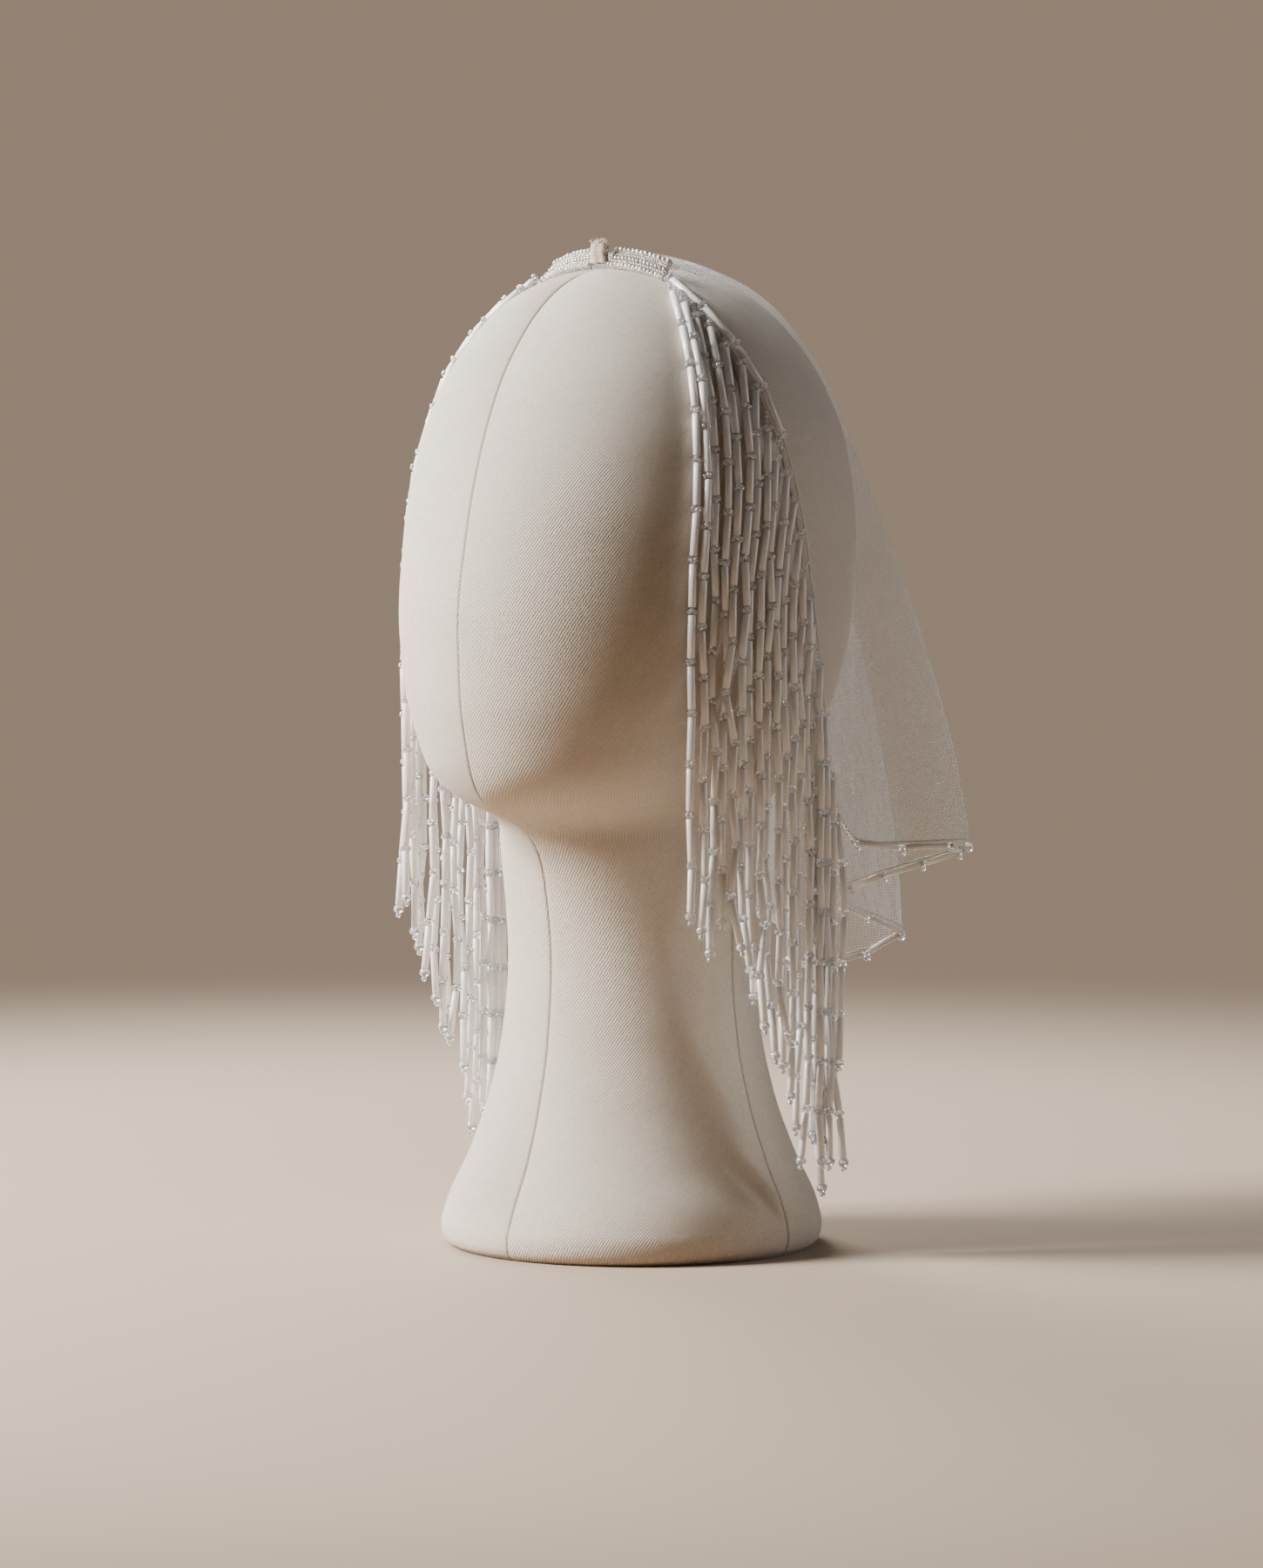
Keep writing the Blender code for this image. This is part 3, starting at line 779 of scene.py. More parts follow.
def setCloth(bm, places, points, uvs):
    layer = bm.loops.layers.uv["clothUV"]
    for vert, (column, row) in places.items():
        vert.co = Vector(points[column, row]) * mm
    for face in bm.faces:
        for loop in face.loops:
            loop[layer].uv = uvs[places[loop.vert]]


headForm = {"sides": 144, "seamDepth": 0.5, "seamWidth": 0.5, "seamDrift": 17.0, "heightStep": 2.6}


def seamDrift(angle, height):
    # the side seams lie further forward on the head than on the neck
    rise = np.clip((height - 150.0) / 110.0, 0.0, 1.0)
    rise = rise * rise * (3.0 - 2.0 * rise)
    drift = 0.0 * angle
    for place, way in ((4.0, -1.0), (176.0, 1.0)):
        away = np.abs((np.degrees(angle) - place + 180.0) % 360.0 - 180.0)
        drift = drift + way * np.cos(np.clip(away / 60.0, 0.0, 1.0) * math.pi / 2) ** 2
    return np.radians(headForm["seamDrift"]) * drift * rise


def seamFold(angle, girth):
    # narrow sunk line at the centre front, the sides and the centre back
    depth = 0.0 * angle
    for place in (-90.0, 4.0, 90.0, 176.0):
        away = np.abs((np.degrees(angle) - place + 180.0) % 360.0 - 180.0)
        distance = np.radians(away) * girth
        depth = np.maximum(depth, np.exp(-((distance / headForm["seamWidth"]) ** 2)))
    return depth


def buildLinenForm():
    low = np.array([0.0, 0.4, 1.2, 2.5, 4.5, 7.0, 10.0])
    middle = np.arange(12.0, 372.0, headForm["heightStep"])
    high = np.array([372.0, 374.5, 377.0, 379.0, 381.0, 383.0, 384.5, 386.0, 386.6, 387.0])
    heights = np.concatenate([low, middle, high])
    # columns crowd at the seams so that each keeps a sharp line
    seams = np.radians([-90.0, 4.0, 90.0, 176.0, 270.0])
    near = np.array([-1.6, -0.9, -0.45, 0.0, 0.45, 0.9, 1.6])
    angles = []
    for first, last in zip(seams, seams[1:]):
        start = first + np.radians(near[3:] / 1.35)
        end = last + np.radians(near[:3] / 1.35)
        count = round(headForm["sides"] * (last - first) / (2 * math.pi))
        between = np.linspace(start[-1], end[0], count)[1:-1]
        angles += [*start, *between, *end]
    angles = np.array(angles + [seams[-1]])
    turn = angles[:, None] + 0.0 * heights
    level = heights + 0.0 * turn
    turn = turn + seamDrift(turn, level)
    grid = formPoint(turn, level)
    normal = formNormal(turn, level)
    girth = np.linalg.norm(grid[..., :2], axis=-1)
    fade = np.clip(heights / 4.0, 0.0, 1.0) * np.clip((386.0 - heights) / 4.0, 0.0, 1.0)
    seam = seamFold(angles[:, None] + 0.0 * heights, girth) * fade
    grid = grid - normal * (seam * headForm["seamDepth"])[..., None]
    grid[-1] = grid[0]
    across = np.cumsum(np.linalg.norm(np.diff(grid, axis=0), axis=-1), axis=0)
    across = np.concatenate([np.zeros((1, len(heights))), across])
    middleColumn = int(np.argmin(np.abs(angles - math.pi / 2)))
    down = np.concatenate([[0.0], np.cumsum(np.linalg.norm(np.diff(grid[middleColumn], axis=0), axis=-1))])
    uvs = np.stack([across, down + 0.0 * across], axis=-1) * mm
    bm, places = gridSheet(len(angles), len(heights), "seam")
    setCloth(bm, places, grid, uvs)
    # the seam depth is also stored on the vertices, where the linen uses it for painted shade along the seams
    seamLayer = bm.verts.layers.float["seam"]
    for vert, (column, row) in places.items():
        vert[seamLayer] = seam[column, row]
    bmesh.ops.remove_doubles(bm, verts=bm.verts, dist=0.00002)
    bmesh.ops.holes_fill(bm, edges=[edge for edge in bm.edges if edge.is_boundary], sides=0)
    bmesh.ops.recalc_face_normals(bm, faces=bm.faces)
    piece = addPiece("linenForm", bm, linen)
    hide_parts("head_form")
    return piece


linenForm = buildLinenForm()
print("head form made")

# creases of the veil: place (0 back, 1 front edge), width, depth in mm, where each starts and its drift
creaseTable = [
    (0.04, 0.018, 0.9, 0.42, 0.00),
    (0.11, 0.024, -0.9, 0.30, 0.01),
    (0.235, 0.020, 1.1, 0.36, -0.01),
    (0.31, 0.022, -0.9, 0.48, 0.00),
    (0.44, 0.026, 1.3, 0.40, 0.015),
    (0.50, 0.020, -0.9, 0.34, 0.00),
    (0.57, 0.028, 1.4, 0.44, -0.02),
    (0.65, 0.020, -0.8, 0.30, 0.00),
    (0.78, 0.024, 1.1, 0.40, 0.015),
    (0.85, 0.018, -0.8, 0.52, 0.00),
    (0.91, 0.020, 0.9, 0.36, -0.01),
    (0.965, 0.014, -0.5, 0.44, 0.00),
]
# gathers behind the band: place, width, rise in mm, how far down each reaches
gatherTable = [
    (0.05, 0.030, 0.9, 0.16),
    (0.15, 0.025, 1.3, 0.22),
    (0.24, 0.030, 0.8, 0.14),
    (0.35, 0.028, 1.5, 0.26),
    (0.45, 0.022, 0.9, 0.15),
    (0.55, 0.030, 1.6, 0.30),
    (0.64, 0.022, 1.0, 0.18),
    (0.73, 0.026, 1.7, 0.34),
    (0.81, 0.020, 1.1, 0.20),
    (0.88, 0.022, 1.4, 0.28),
    (0.945, 0.014, 0.8, 0.14),
]


def buildVeil():
    half = veil["halfColumns"]
    sides = np.linspace(0.0, 1.0, half + 1)
    right = clothGrid(sides, veil["domeRows"], veil["hangRows"])
    flip = np.array([-1.0, 1.0, 1.0])
    grid = np.concatenate([right[:0:-1] * flip, right])
    place = np.concatenate([sides[:0:-1], sides])
    handed = np.concatenate([-np.ones(half), np.ones(half + 1)])
    steps = np.linalg.norm(np.diff(grid, axis=1), axis=-1)
    drop = np.concatenate([np.zeros((len(grid), 1)), np.cumsum(steps, axis=1)], axis=1)
    drop = drop / drop[:, -1:]

    push = np.zeros(drop.shape)
    for index, (at, width, depth, start, drift) in enumerate(creaseTable):
        shift = 0.006 * math.sin(2.1 * index + 1.0) * handed[:, None]
        centre = at + drift * drop + shift
        ridge = np.exp(-(((place[:, None] - centre) / width) ** 2))
        grown = np.clip((drop - start) / (1.0 - start), 0.0, 1.0) ** 1.4
        push += depth * ridge * grown
    for index, (at, width, rise, reach) in enumerate(gatherTable):
        shift = 0.008 * math.sin(3.7 * index) * handed[:, None]
        ridge = np.exp(-(((place[:, None] - at - shift) / (width * (1.0 + 0.6 * drop))) ** 2))
        push += rise * ridge * np.exp(-((drop / reach) ** 2)) * np.clip(drop / 0.02, 0.0, 1.0)
    across = np.gradient(grid, axis=0)
    along = np.gradient(grid, axis=1)
    normal = unit(np.cross(across, along))
    outward = np.sum(normal * (grid - np.array([0.0, 0.0, 230.0])), axis=-1, keepdims=True)
    normal = normal * np.sign(np.median(outward))
    hold = np.clip((1.0 - np.abs(place)) / 0.02, 0.0, 1.0)[:, None]
    grid = grid + normal * (push * hold)[..., None]

    columns, rows = grid.shape[:2]
    bm, places = gridSheet(columns, rows)
    setCloth(bm, places, grid, np.zeros((columns, rows, 2)))
    piece = addPiece("veilNet", bm, net)
    bpy.context.view_layer.objects.active = piece
    piece.select_set(True)
    bpy.ops.object.mode_set(mode="EDIT")
    bpy.ops.mesh.select_all(action="SELECT")
    bpy.ops.uv.unwrap(method="ANGLE_BASED", fill_holes=False, correct_aspect=False, margin=0.0)
    bpy.ops.object.mode_set(mode="OBJECT")
    piece.select_set(False)
    mesh = piece.data
    uv = np.empty(len(mesh.loops) * 2)
    mesh.uv_layers["clothUV"].data.foreach_get("uv", uv)
    uv = uv.reshape(-1, 4, 2)
    one, two = uv[:, 2] - uv[:, 0], uv[:, 3] - uv[:, 1]
    flatArea = np.abs(one[:, 0] * two[:, 1] - one[:, 1] * two[:, 0]).sum() / 2
    area = sum(face.area for face in mesh.polygons)
    uv = uv * math.sqrt(area / flatArea)
    # at real size, so that the net's cells are one pitch all over
    mesh.uv_layers["clothUV"].data.foreach_set("uv", uv.ravel())
    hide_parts("veil_panel")
    lengths = [round(lineLength(line)) for line in (grid[:, -1], grid[half], grid[-1], grid[:, 0])]
    print("veil", round(area, 4), "m2; hem, back, front edge and top in mm:", *lengths)
    return piece, grid


veilNet, veilGrid = buildVeil()
print("veil made")


# small beads: each template is copied to many places with one geometry node tree
def buildScatter():
    tree = bpy.data.node_groups.new("beadScatter", "GeometryNodeTree")
    tree.interface.new_socket(name="Geometry", in_out="INPUT", socket_type="NodeSocketGeometry")
    tree.interface.new_socket(name="Bead", in_out="INPUT", socket_type="NodeSocketObject")
    tree.interface.new_socket(name="Geometry", in_out="OUTPUT", socket_type="NodeSocketGeometry")
    given = tree.nodes.new("NodeGroupInput")
    out = tree.nodes.new("NodeGroupOutput")
    points = tree.nodes.new("GeometryNodeMeshToPoints")
    info = tree.nodes.new("GeometryNodeObjectInfo")
    place = tree.nodes.new("GeometryNodeInstanceOnPoints")
    real = tree.nodes.new("GeometryNodeRealizeInstances")
    named = []
    for label in ("turn", "size"):
        node = tree.nodes.new("GeometryNodeInputNamedAttribute")
        node.data_type = "FLOAT_VECTOR"
        node.inputs["Name"].default_value = label
        named.append(node.outputs["Attribute"])
    tree.links.new(given.outputs["Geometry"], points.inputs["Mesh"])
    tree.links.new(given.outputs["Bead"], info.inputs["Object"])
    tree.links.new(points.outputs["Points"], place.inputs["Points"])
    tree.links.new(info.outputs["Geometry"], place.inputs["Instance"])
    tree.links.new(named[0], place.inputs["Rotation"])
    tree.links.new(named[1], place.inputs["Scale"])
    tree.links.new(place.outputs["Instances"], real.inputs["Geometry"])
    tree.links.new(real.outputs["Geometry"], out.inputs["Geometry"])
    return tree


beadScatter = buildScatter()


def scatterBeads(name, template, spots):
    # spots: (place in mm, direction of the bead's axis, size, tone)
    rng = random.Random(len(spots))
    mesh = bpy.data.meshes.new(name)
    mesh.from_pydata([Vector(spot[0]) * mm for spot in spots], [], [])
    for label, kind in (("turn", "FLOAT_VECTOR"), ("size", "FLOAT_VECTOR"), ("tone", "FLOAT")):
        mesh.attributes.new(label, kind, "POINT")
    turn, size, tone = (mesh.attributes[label] for label in ("turn", "size", "tone"))
    for index, (place, axis, scale, shade) in enumerate(spots):
        spin = Matrix.Rotation(rng.uniform(0.0, 2 * math.pi), 3, "Z")
        facing = Vector(axis).to_track_quat("Z", "Y").to_matrix() @ spin
        turn.data[index].vector = facing.to_euler()
        size.data[index].vector = Vector(scale)
        tone.data[index].value = shade
    piece = bpy.data.objects.new(name, mesh)
    bpy.context.scene.collection.objects.link(piece)
    scatter = piece.modifiers.new("scatter", "NODES")
    scatter.node_group = beadScatter
    scatter["Socket_1"] = template
    graph = bpy.context.evaluated_depsgraph_get()
    full = bpy.data.meshes.new_from_object(piece.evaluated_get(graph), depsgraph=graph)
    piece.modifiers.clear()
    piece.data = full
    for label in ("turn", "size"):
        if label in full.attributes:
            full.attributes.remove(full.attributes[label])
    full.shade_smooth()
    full.set_sharp_from_angle(angle=math.radians(50.0))
    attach(piece, "root")
    return piece


def addTemplate(name, bm, finish):
    mesh = bpy.data.meshes.new(name)
    bm.to_mesh(mesh)
    bm.free()
    mesh.materials.append(finish)
    made = bpy.data.objects.new(name, mesh)
    return made


def buildBugle():
    # turned tube with a bore and eased ends, along Z
    long, wide, bore = beads["bugleLength"] / 2, beads["bugleRadius"], beads["boreRadius"]
    outline = [(bore, -long + 0.8), (bore, -long), (wide - 0.28, -long), (wide, -long + 0.3)]
    outline += [(wide, 0.0), (wide, long - 0.3), (wide - 0.28, long), (bore, long), (bore, long - 0.8)]
    sides = beads["bugleSides"]
    bm = bmesh.new()
    layer = bm.loops.layers.uv.new("tubeUV")
    verts = [bm.verts.new((x * mm, 0.0, z * mm)) for x, z in outline]
    edges = [bm.edges.new(pair) for pair in zip(verts, verts[1:])]
    bmesh.ops.spin(
        bm, geom=verts + edges, cent=(0, 0, 0), axis=(0, 0, 1), dvec=(0, 0, 0),
        angle=2 * math.pi, steps=sides, use_merge=True, use_normal_flip=False, use_duplicate=False,
    )
    bmesh.ops.remove_doubles(bm, verts=bm.verts, dist=0.00001)
    bmesh.ops.recalc_face_normals(bm, faces=bm.faces)
    for face in bm.faces:
        middle = face.calc_center_median()
        centre = math.atan2(middle.y, middle.x)
        for loop in face.loops:
            angle = math.atan2(loop.vert.co.y, loop.vert.co.x)
            angle = centre + (angle - centre + math.pi) % (2 * math.pi) - math.pi
            loop[layer].uv = (angle / (2 * math.pi), loop.vert.co.z / (beads["bugleLength"] * mm))
    return addTemplate("bugleTemplate", bm, satinGlass)


def buildRoundBead(name, radius, finish, around=8, along=6):
    bm = bmesh.new()
    bmesh.ops.create_uvsphere(bm, u_segments=around, v_segments=along, radius=radius * mm)
    return addTemplate(name, bm, finish)


def buildJoint():
    # a ring of small clear beads between two tubes
    bm = bmesh.new()
    ring, spread, count = beads["jointRing"], beads["jointSpread"], beads["jointCount"]
    for index in range(count):
        angle = 2 * math.pi * index / count
        place = Vector((ring * math.cos(angle), ring * math.sin(angle), spread * (-1) ** index)) * mm
        bmesh.ops.create_uvsphere(
            bm, u_segments=8, v_segments=5, radius=beads["jointBead"] * mm, matrix=Matrix.Translation(place)
        )
    return addTemplate("jointTemplate", bm, clearGlass)


def buildRibbedBead():
    bm = bmesh.new()
    ribs = beads["endRibs"]
    bmesh.ops.create_uvsphere(bm, u_segments=ribs * 2, v_segments=8, radius=beads["endBead"] * mm)
    for vert in bm.verts:
        angle = math.atan2(vert.co.y, vert.co.x)
        swell = 1.0 + 0.07 * math.cos(ribs * angle)
        vert.co = Vector((vert.co.x * swell, vert.co.y * swell, vert.co.z * 0.86))
    return addTemplate("endTemplate", bm, clearGlass)


def buildSeed():
    # a small bead turned round its hole
    bm = bmesh.new()
    size = band["beadSize"] / 2
    verts = []
    for index in range(7):
        angle = math.pi * index / 6 - math.pi / 2
        out, up = (0.55 + 0.45 * math.cos(angle)) * size * mm, 0.72 * size * math.sin(angle) * mm
        verts.append(bm.verts.new((out, 0.0, up)))
    edges = [bm.edges.new(pair) for pair in zip(verts, verts[1:])]
    bmesh.ops.spin(
        bm, geom=verts + edges, cent=(0, 0, 0), axis=(0, 0, 1), dvec=(0, 0, 0),
        angle=2 * math.pi, steps=8, use_merge=True, use_normal_flip=False, use_duplicate=False,
    )
    bmesh.ops.remove_doubles(bm, verts=bm.verts, dist=0.00001)
    bmesh.ops.holes_fill(bm, edges=[edge for edge in bm.edges if edge.is_boundary], sides=0)
    bmesh.ops.recalc_face_normals(bm, faces=bm.faces)
    return addTemplate("seedTemplate", bm, seedGlass)


bugle = buildBugle()
joint = buildJoint()
ribbedBead = buildRibbedBead()
clearBead = buildRoundBead("clearTemplate", 1.0, clearGlass)
seedBead = buildSeed()
full = (1.0, 1.0, 1.0)


def beadChain(nodes, lists, rng, tone=0.8, thin=1.0, lastJoint=True):
    # tubes between the nodes and a ring of clear beads on each
    bugles, joints = lists
    for first, last in zip(nodes, nodes[1:]):
        way = last - first
        length = float(np.linalg.norm(way))
        stretch = (length - 3.0) / beads["bugleLength"]
        shade = min(1.0, max(0.0, tone + rng.uniform(-0.12, 0.12)))
        bugles.append(((first + last) / 2, way, (thin, thin, stretch), shade))
    chosen = nodes if lastJoint else nodes[:-1]
    for index, node in enumerate(chosen):
        before, after = nodes[max(index - 1, 0)], nodes[min(index + 1, len(nodes) - 1)]
        scale = rng.uniform(0.9, 1.08)
        joints.append((node, after - before, (scale, scale, scale * rng.uniform(0.9, 1.15)), 1.0))


def buildFringe(side):
    name = "Left" if side > 0 else "Right"
    rng = random.Random(11 if side > 0 else 23)
    flip = np.array([side, 1.0, 1.0])
    edge = clothGrid(np.array([1.0]), 8, 14)[0]
    line, roots, forward = strandRoots(edge)
    bugles, joints, ends, smalls = [], [], [], []
    for k in range(fringe["strands"]):
        path, count = strandPath(k, roots[k], forward[k])
        # a few clear beads come before the first tube, so that the joints don't line up
        lead = rng.randint(0, fringe["leadBeads"]) * 2.1
        nodes = resampled(path, np.linspace(lead, count * fringe["pitch"], count + 1))[0]
        for place in np.arange(1.0, lead, 2.1):
            spot = resampled(path, [place])[0][0]
            smalls.append((spot * flip, forward[k] * flip, (0.95, 0.95, 0.95), 1.0))
        plumbed = nodes[:, 2] < fringe["plumbHeight"] - 8.0
        sway = np.zeros((count + 1, 3))
        for index in range(1, count + 1):
            if plumbed[index]:
                kink = fringe["looseKink"] if k in fringe["looseStrands"] else fringe["kink"]
                if k == 0:
                    kink *= min(1.0, (fringe["plumbHeight"] + 10.0 - nodes[index, 2]) / 90.0)
                sway[index, :2] = [rng.gauss(0.0, kink), rng.gauss(0.0, kink)]
        if k in fringe["looseStrands"]:
            out = fringe["looseOut"][fringe["looseStrands"].index(k)]
            sway[:, 0] += out * np.clip((310.0 - nodes[:, 2]) / 60.0, 0.0, 1.0)
            sway[:, 1] -= out * 0.7 * np.clip((310.0 - nodes[:, 2]) / 60.0, 0.0, 1.0)
        lean = rng.uniform(-1.0, 1.0), rng.uniform(-1.0, 1.0)
        sway[-1, :2] += np.array(lean) * fringe["endLean"]
        sway[-2, :2] += np.array(lean) * fringe["endLean"] * 0.35
        away = np.sign(nodes[:, :1])
        sway[:, 0] = np.where(sway[:, 0] * away[:, 0] < -0.4, -0.4 * away[:, 0], sway[:, 0])
        nodes = nodes + sway
        if lead == 0.0:
            nodes[0] = roots[k]
        thin = 1.04 if k in (0, 1, 4, 5) else 0.97
        beadChain(nodes * flip, (bugles, joints), rng, rng.uniform(0.65, 0.95), thin, False)
        tail = unit(nodes[-1] - nodes[-2])
        ends.append(((nodes[-1] + tail * 0.2) * flip, tail * flip, full, 1.0))
        smalls.append(((nodes[-1] + tail * 2.8) * flip, tail * flip, (beads["tipBead"],) * 3, 1.0))
        smalls.append(((roots[k] - forward[k] * 1.6) * flip, forward[k] * flip, (0.9, 0.9, 0.9), 1.0))
    # tubes along the top of the front edge
    edgeNodes = resampled(line, 1.0 + np.arange(fringe["edgeBugles"] + 1) * fringe["pitch"])[0]
    beadChain((edgeNodes + edgeFrames(edgeNodes)[1]) * flip, (bugles, joints), rng, 0.9)
    # chain of clear beads from the band's lower corner to the first roots
    corner = bandFoot(np.array(band["halfLength"])) + bandUp * 0.6
    for index in range(7):
        share = index / 6
        spot = corner * (1.0 - share) + roots[3] * share
        spot = aboveDome(spot[0], spot[1], 2.0)
        smalls.append((spot * flip, (0, 0, 1), (0.95, 0.95, 0.95), 1.0))
    tubes = scatterBeads("fringeBugles" + name, bugle, bugles)
    rings = scatterBeads("fringeJoints" + name, joint, joints)
    drops = scatterBeads("fringeEnds" + name, ribbedBead, ends)
    dots = scatterBeads("fringeDots" + name, clearBead, smalls)
    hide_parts("fringe_left" if side > 0 else "fringe_right")
    return [tubes, rings, drops, dots]


fringeLeft = buildFringe(1.0)
fringeRight = buildFringe(-1.0)
print("fringe made")


def buildHem():
    # tubes and clear beads strung along the lower edge of the cloth
    rng = random.Random(5)
    fall = unit(veilGrid[:, -1] - veilGrid[:, -2])
    line = veilGrid[:, -1] + fall * 2.0
    total = resampled(line, [0.0])[1]
    corner = fringe["cornerChain"]
    count = round((total - 2 * corner) / fringe["pitch"])
    nodes = resampled(line, np.linspace(corner, total - corner, count + 1))[0]
    bugles, spare, dots = [], [], []
    # painted shade: the hem tubes get a low tone, a darker tint of the same satin glass
    beadChain(nodes, (bugles, spare), rng, 0.35, 0.86)
    # at each joint two beads on the line and one or two that hang below it
    for node, way in zip(nodes, unit(np.gradient(nodes, axis=0))):
        for along in (-0.95, 0.95):
            dots.append((node + way * along, way, (1.25, 1.25, 1.15), 1.0))
        for index in range(rng.choice((1, 1, 2))):
            lean = way * rng.uniform(-1.2, 1.2) + np.array([0.0, 0.0, -1.9 - 0.4 * index])
            dots.append((node + lean, way, (1.25, 1.25, 1.25), 1.0))
    # chains of clear beads close the corners
    for start, end in ((0.8, corner - 1.6), (total - corner + 1.6, total - 0.8)):
        for place in np.linspace(start, end, round(corner / 2.1)):
            spot = resampled(line, [place])[0][0]
            dots.append((spot, (0, 0, 1), (0.95, 0.95, 0.95), 1.0))
    # a larger bead at the tip of each flute
    reach = np.hypot(line[:, 0], line[:, 1])
    for index in range(2, len(line) - 2):
        nearby = reach[index - 2 : index + 3]
        if nearby[0] < reach[index] >= nearby[-1] and reach[index] == nearby.max():
            dots.append((line[index] + fall[index] * 0.3, (0, 0, 1), (2.0, 2.0, 2.0), 1.0))
    tubes = scatterBeads("hemBugles", bugle, bugles)
    beadsBelow = scatterBeads("hemDots", clearBead, dots)
    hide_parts("hem_beads")
    return [tubes, beadsBelow]


hemPieces = buildHem()


def buildCord(name, lines, radius, finish, sides=6):
    # thin round cords along lines of points
    bm = bmesh.new()
    for line in lines:
        line = np.asarray(line)
        ways = unit(np.concatenate([line[1:2] - line[:1], line[2:] - line[:-2], line[-1:] - line[-2:-1]]))
        loops = []
        for point, way in zip(line, ways):
            turn = Vector(way).to_track_quat("Z", "Y").to_matrix().to_4x4()
            place = Matrix.Translation(Vector(point) * mm) @ turn
            made = bmesh.ops.create_circle(bm, cap_ends=False, segments=sides, radius=radius * mm, matrix=place)
            loops.append(made["verts"])
        for low, high in zip(loops, loops[1:]):
            edges = []
            for ring in (low, high):
                linked = {edge for vert in ring for edge in vert.link_edges}
                edges += [edge for edge in linked if all(vert in ring for vert in edge.verts)]
            bmesh.ops.bridge_loops(bm, edges=edges)
        for ring in (loops[0], loops[-1]):
            bmesh.ops.contextual_create(bm, geom=ring)
    bmesh.ops.recalc_face_normals(bm, faces=bm.faces)
    return addPiece(name, bm, finish)


def buildRolledEdges():
    left, right, hem = veilGrid[-1], veilGrid[0], veilGrid[:, -1]
    return buildCord("rolledEdge", [left[::2], right[::2], hem[::3]], 0.42, pearlThread)


rolledEdge = buildRolledEdges()
print("hem made")


def buildBand():
    rng = random.Random(3)
    inner = band["loopWidth"] / 2 + gap
    core = bmesh.new()
    spots = []
    left, right, near, far = 0.8, band["width"] - 0.8, 0.9, band["thick"] - 0.5
    corners = [(left, near), (right, near), (right, far), (left, far)]

    def alongBand(size, index, count):
        return inner + size * 0.45 + (band["halfLength"] - inner - size * 0.9) * index / (count - 1)

    for side in (1.0, -1.0):
        flip = np.array([side, 1.0, 1.0])
        xs = np.linspace(inner + 0.6, band["halfLength"] - 0.6, 13)
        feet = bandFoot(xs)
        loops = []
        for foot in feet:
            places = [(foot + bandUp * up + bandBack * back) * flip for up, back in corners]
            ring = [core.verts.new(Vector(place) * mm) for place in places]
            ring = [core.edges.new((ring[i], ring[(i + 1) % 4])) for i in range(4)]
            loops.append(ring)
        for low, high in zip(loops, loops[1:]):
            bmesh.ops.bridge_loops(core, edges=low + high)
        for ring in (loops[0], loops[-1]):
            bmesh.ops.contextual_create(core, geom=ring)
        for up, grow, slant in bandRows:
            size = band["beadSize"] * grow
            count = int((band["halfLength"] - inner) / (size * 0.9))
            for back in (0.45, band["thick"] - 0.1):
                for index in range(count):
                    x = alongBand(size, index, count)
                    spot = bandFoot(np.array(x)) + bandUp * (up + rng.uniform(-0.1, 0.1))
                    spot = spot + bandBack * (back + rng.uniform(-0.08, 0.08))
                    axis = np.array([1.0, rng.uniform(-0.2, 0.2), slant + rng.uniform(-0.2, 0.2)])
                    scale = grow * rng.uniform(0.92, 1.08)
                    spots.append((spot * flip, axis * flip, (scale, scale, scale), rng.random()))
        size = band["beadSize"]
        count = int((band["halfLength"] - inner) / (size * 0.78))
        for back in (0.8, 1.6):
            for index in range(count):
                x = alongBand(size, index, count)
                foot = bandFoot(np.array(x))
                for up in (0.3, band["width"] - 0.2):
                    spot = foot + bandUp * up + bandBack * back
                    axis = np.array([1.0, 0.0, 0.3]) * flip
                    spots.append((spot * flip, axis, (1.0, 1.0, 1.0), rng.random()))
        for up in np.linspace(0.6, band["width"] - 0.6, 7):
            for x in (inner + 0.3, band["halfLength"] - 0.1):
                spot = bandFoot(np.array(x)) + bandUp * up + bandBack * 1.1
                spots.append((spot * flip, bandUp, (1.05, 1.05, 1.05), rng.random()))
    bmesh.ops.recalc_face_normals(core, faces=core.faces)
    tape = addPiece("bandTape", core, netTape)
    rows = scatterBeads("seedRows", seedBead, spots)
    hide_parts("band_left", "band_right")
    return [tape, rows]


bandPieces = buildBand()


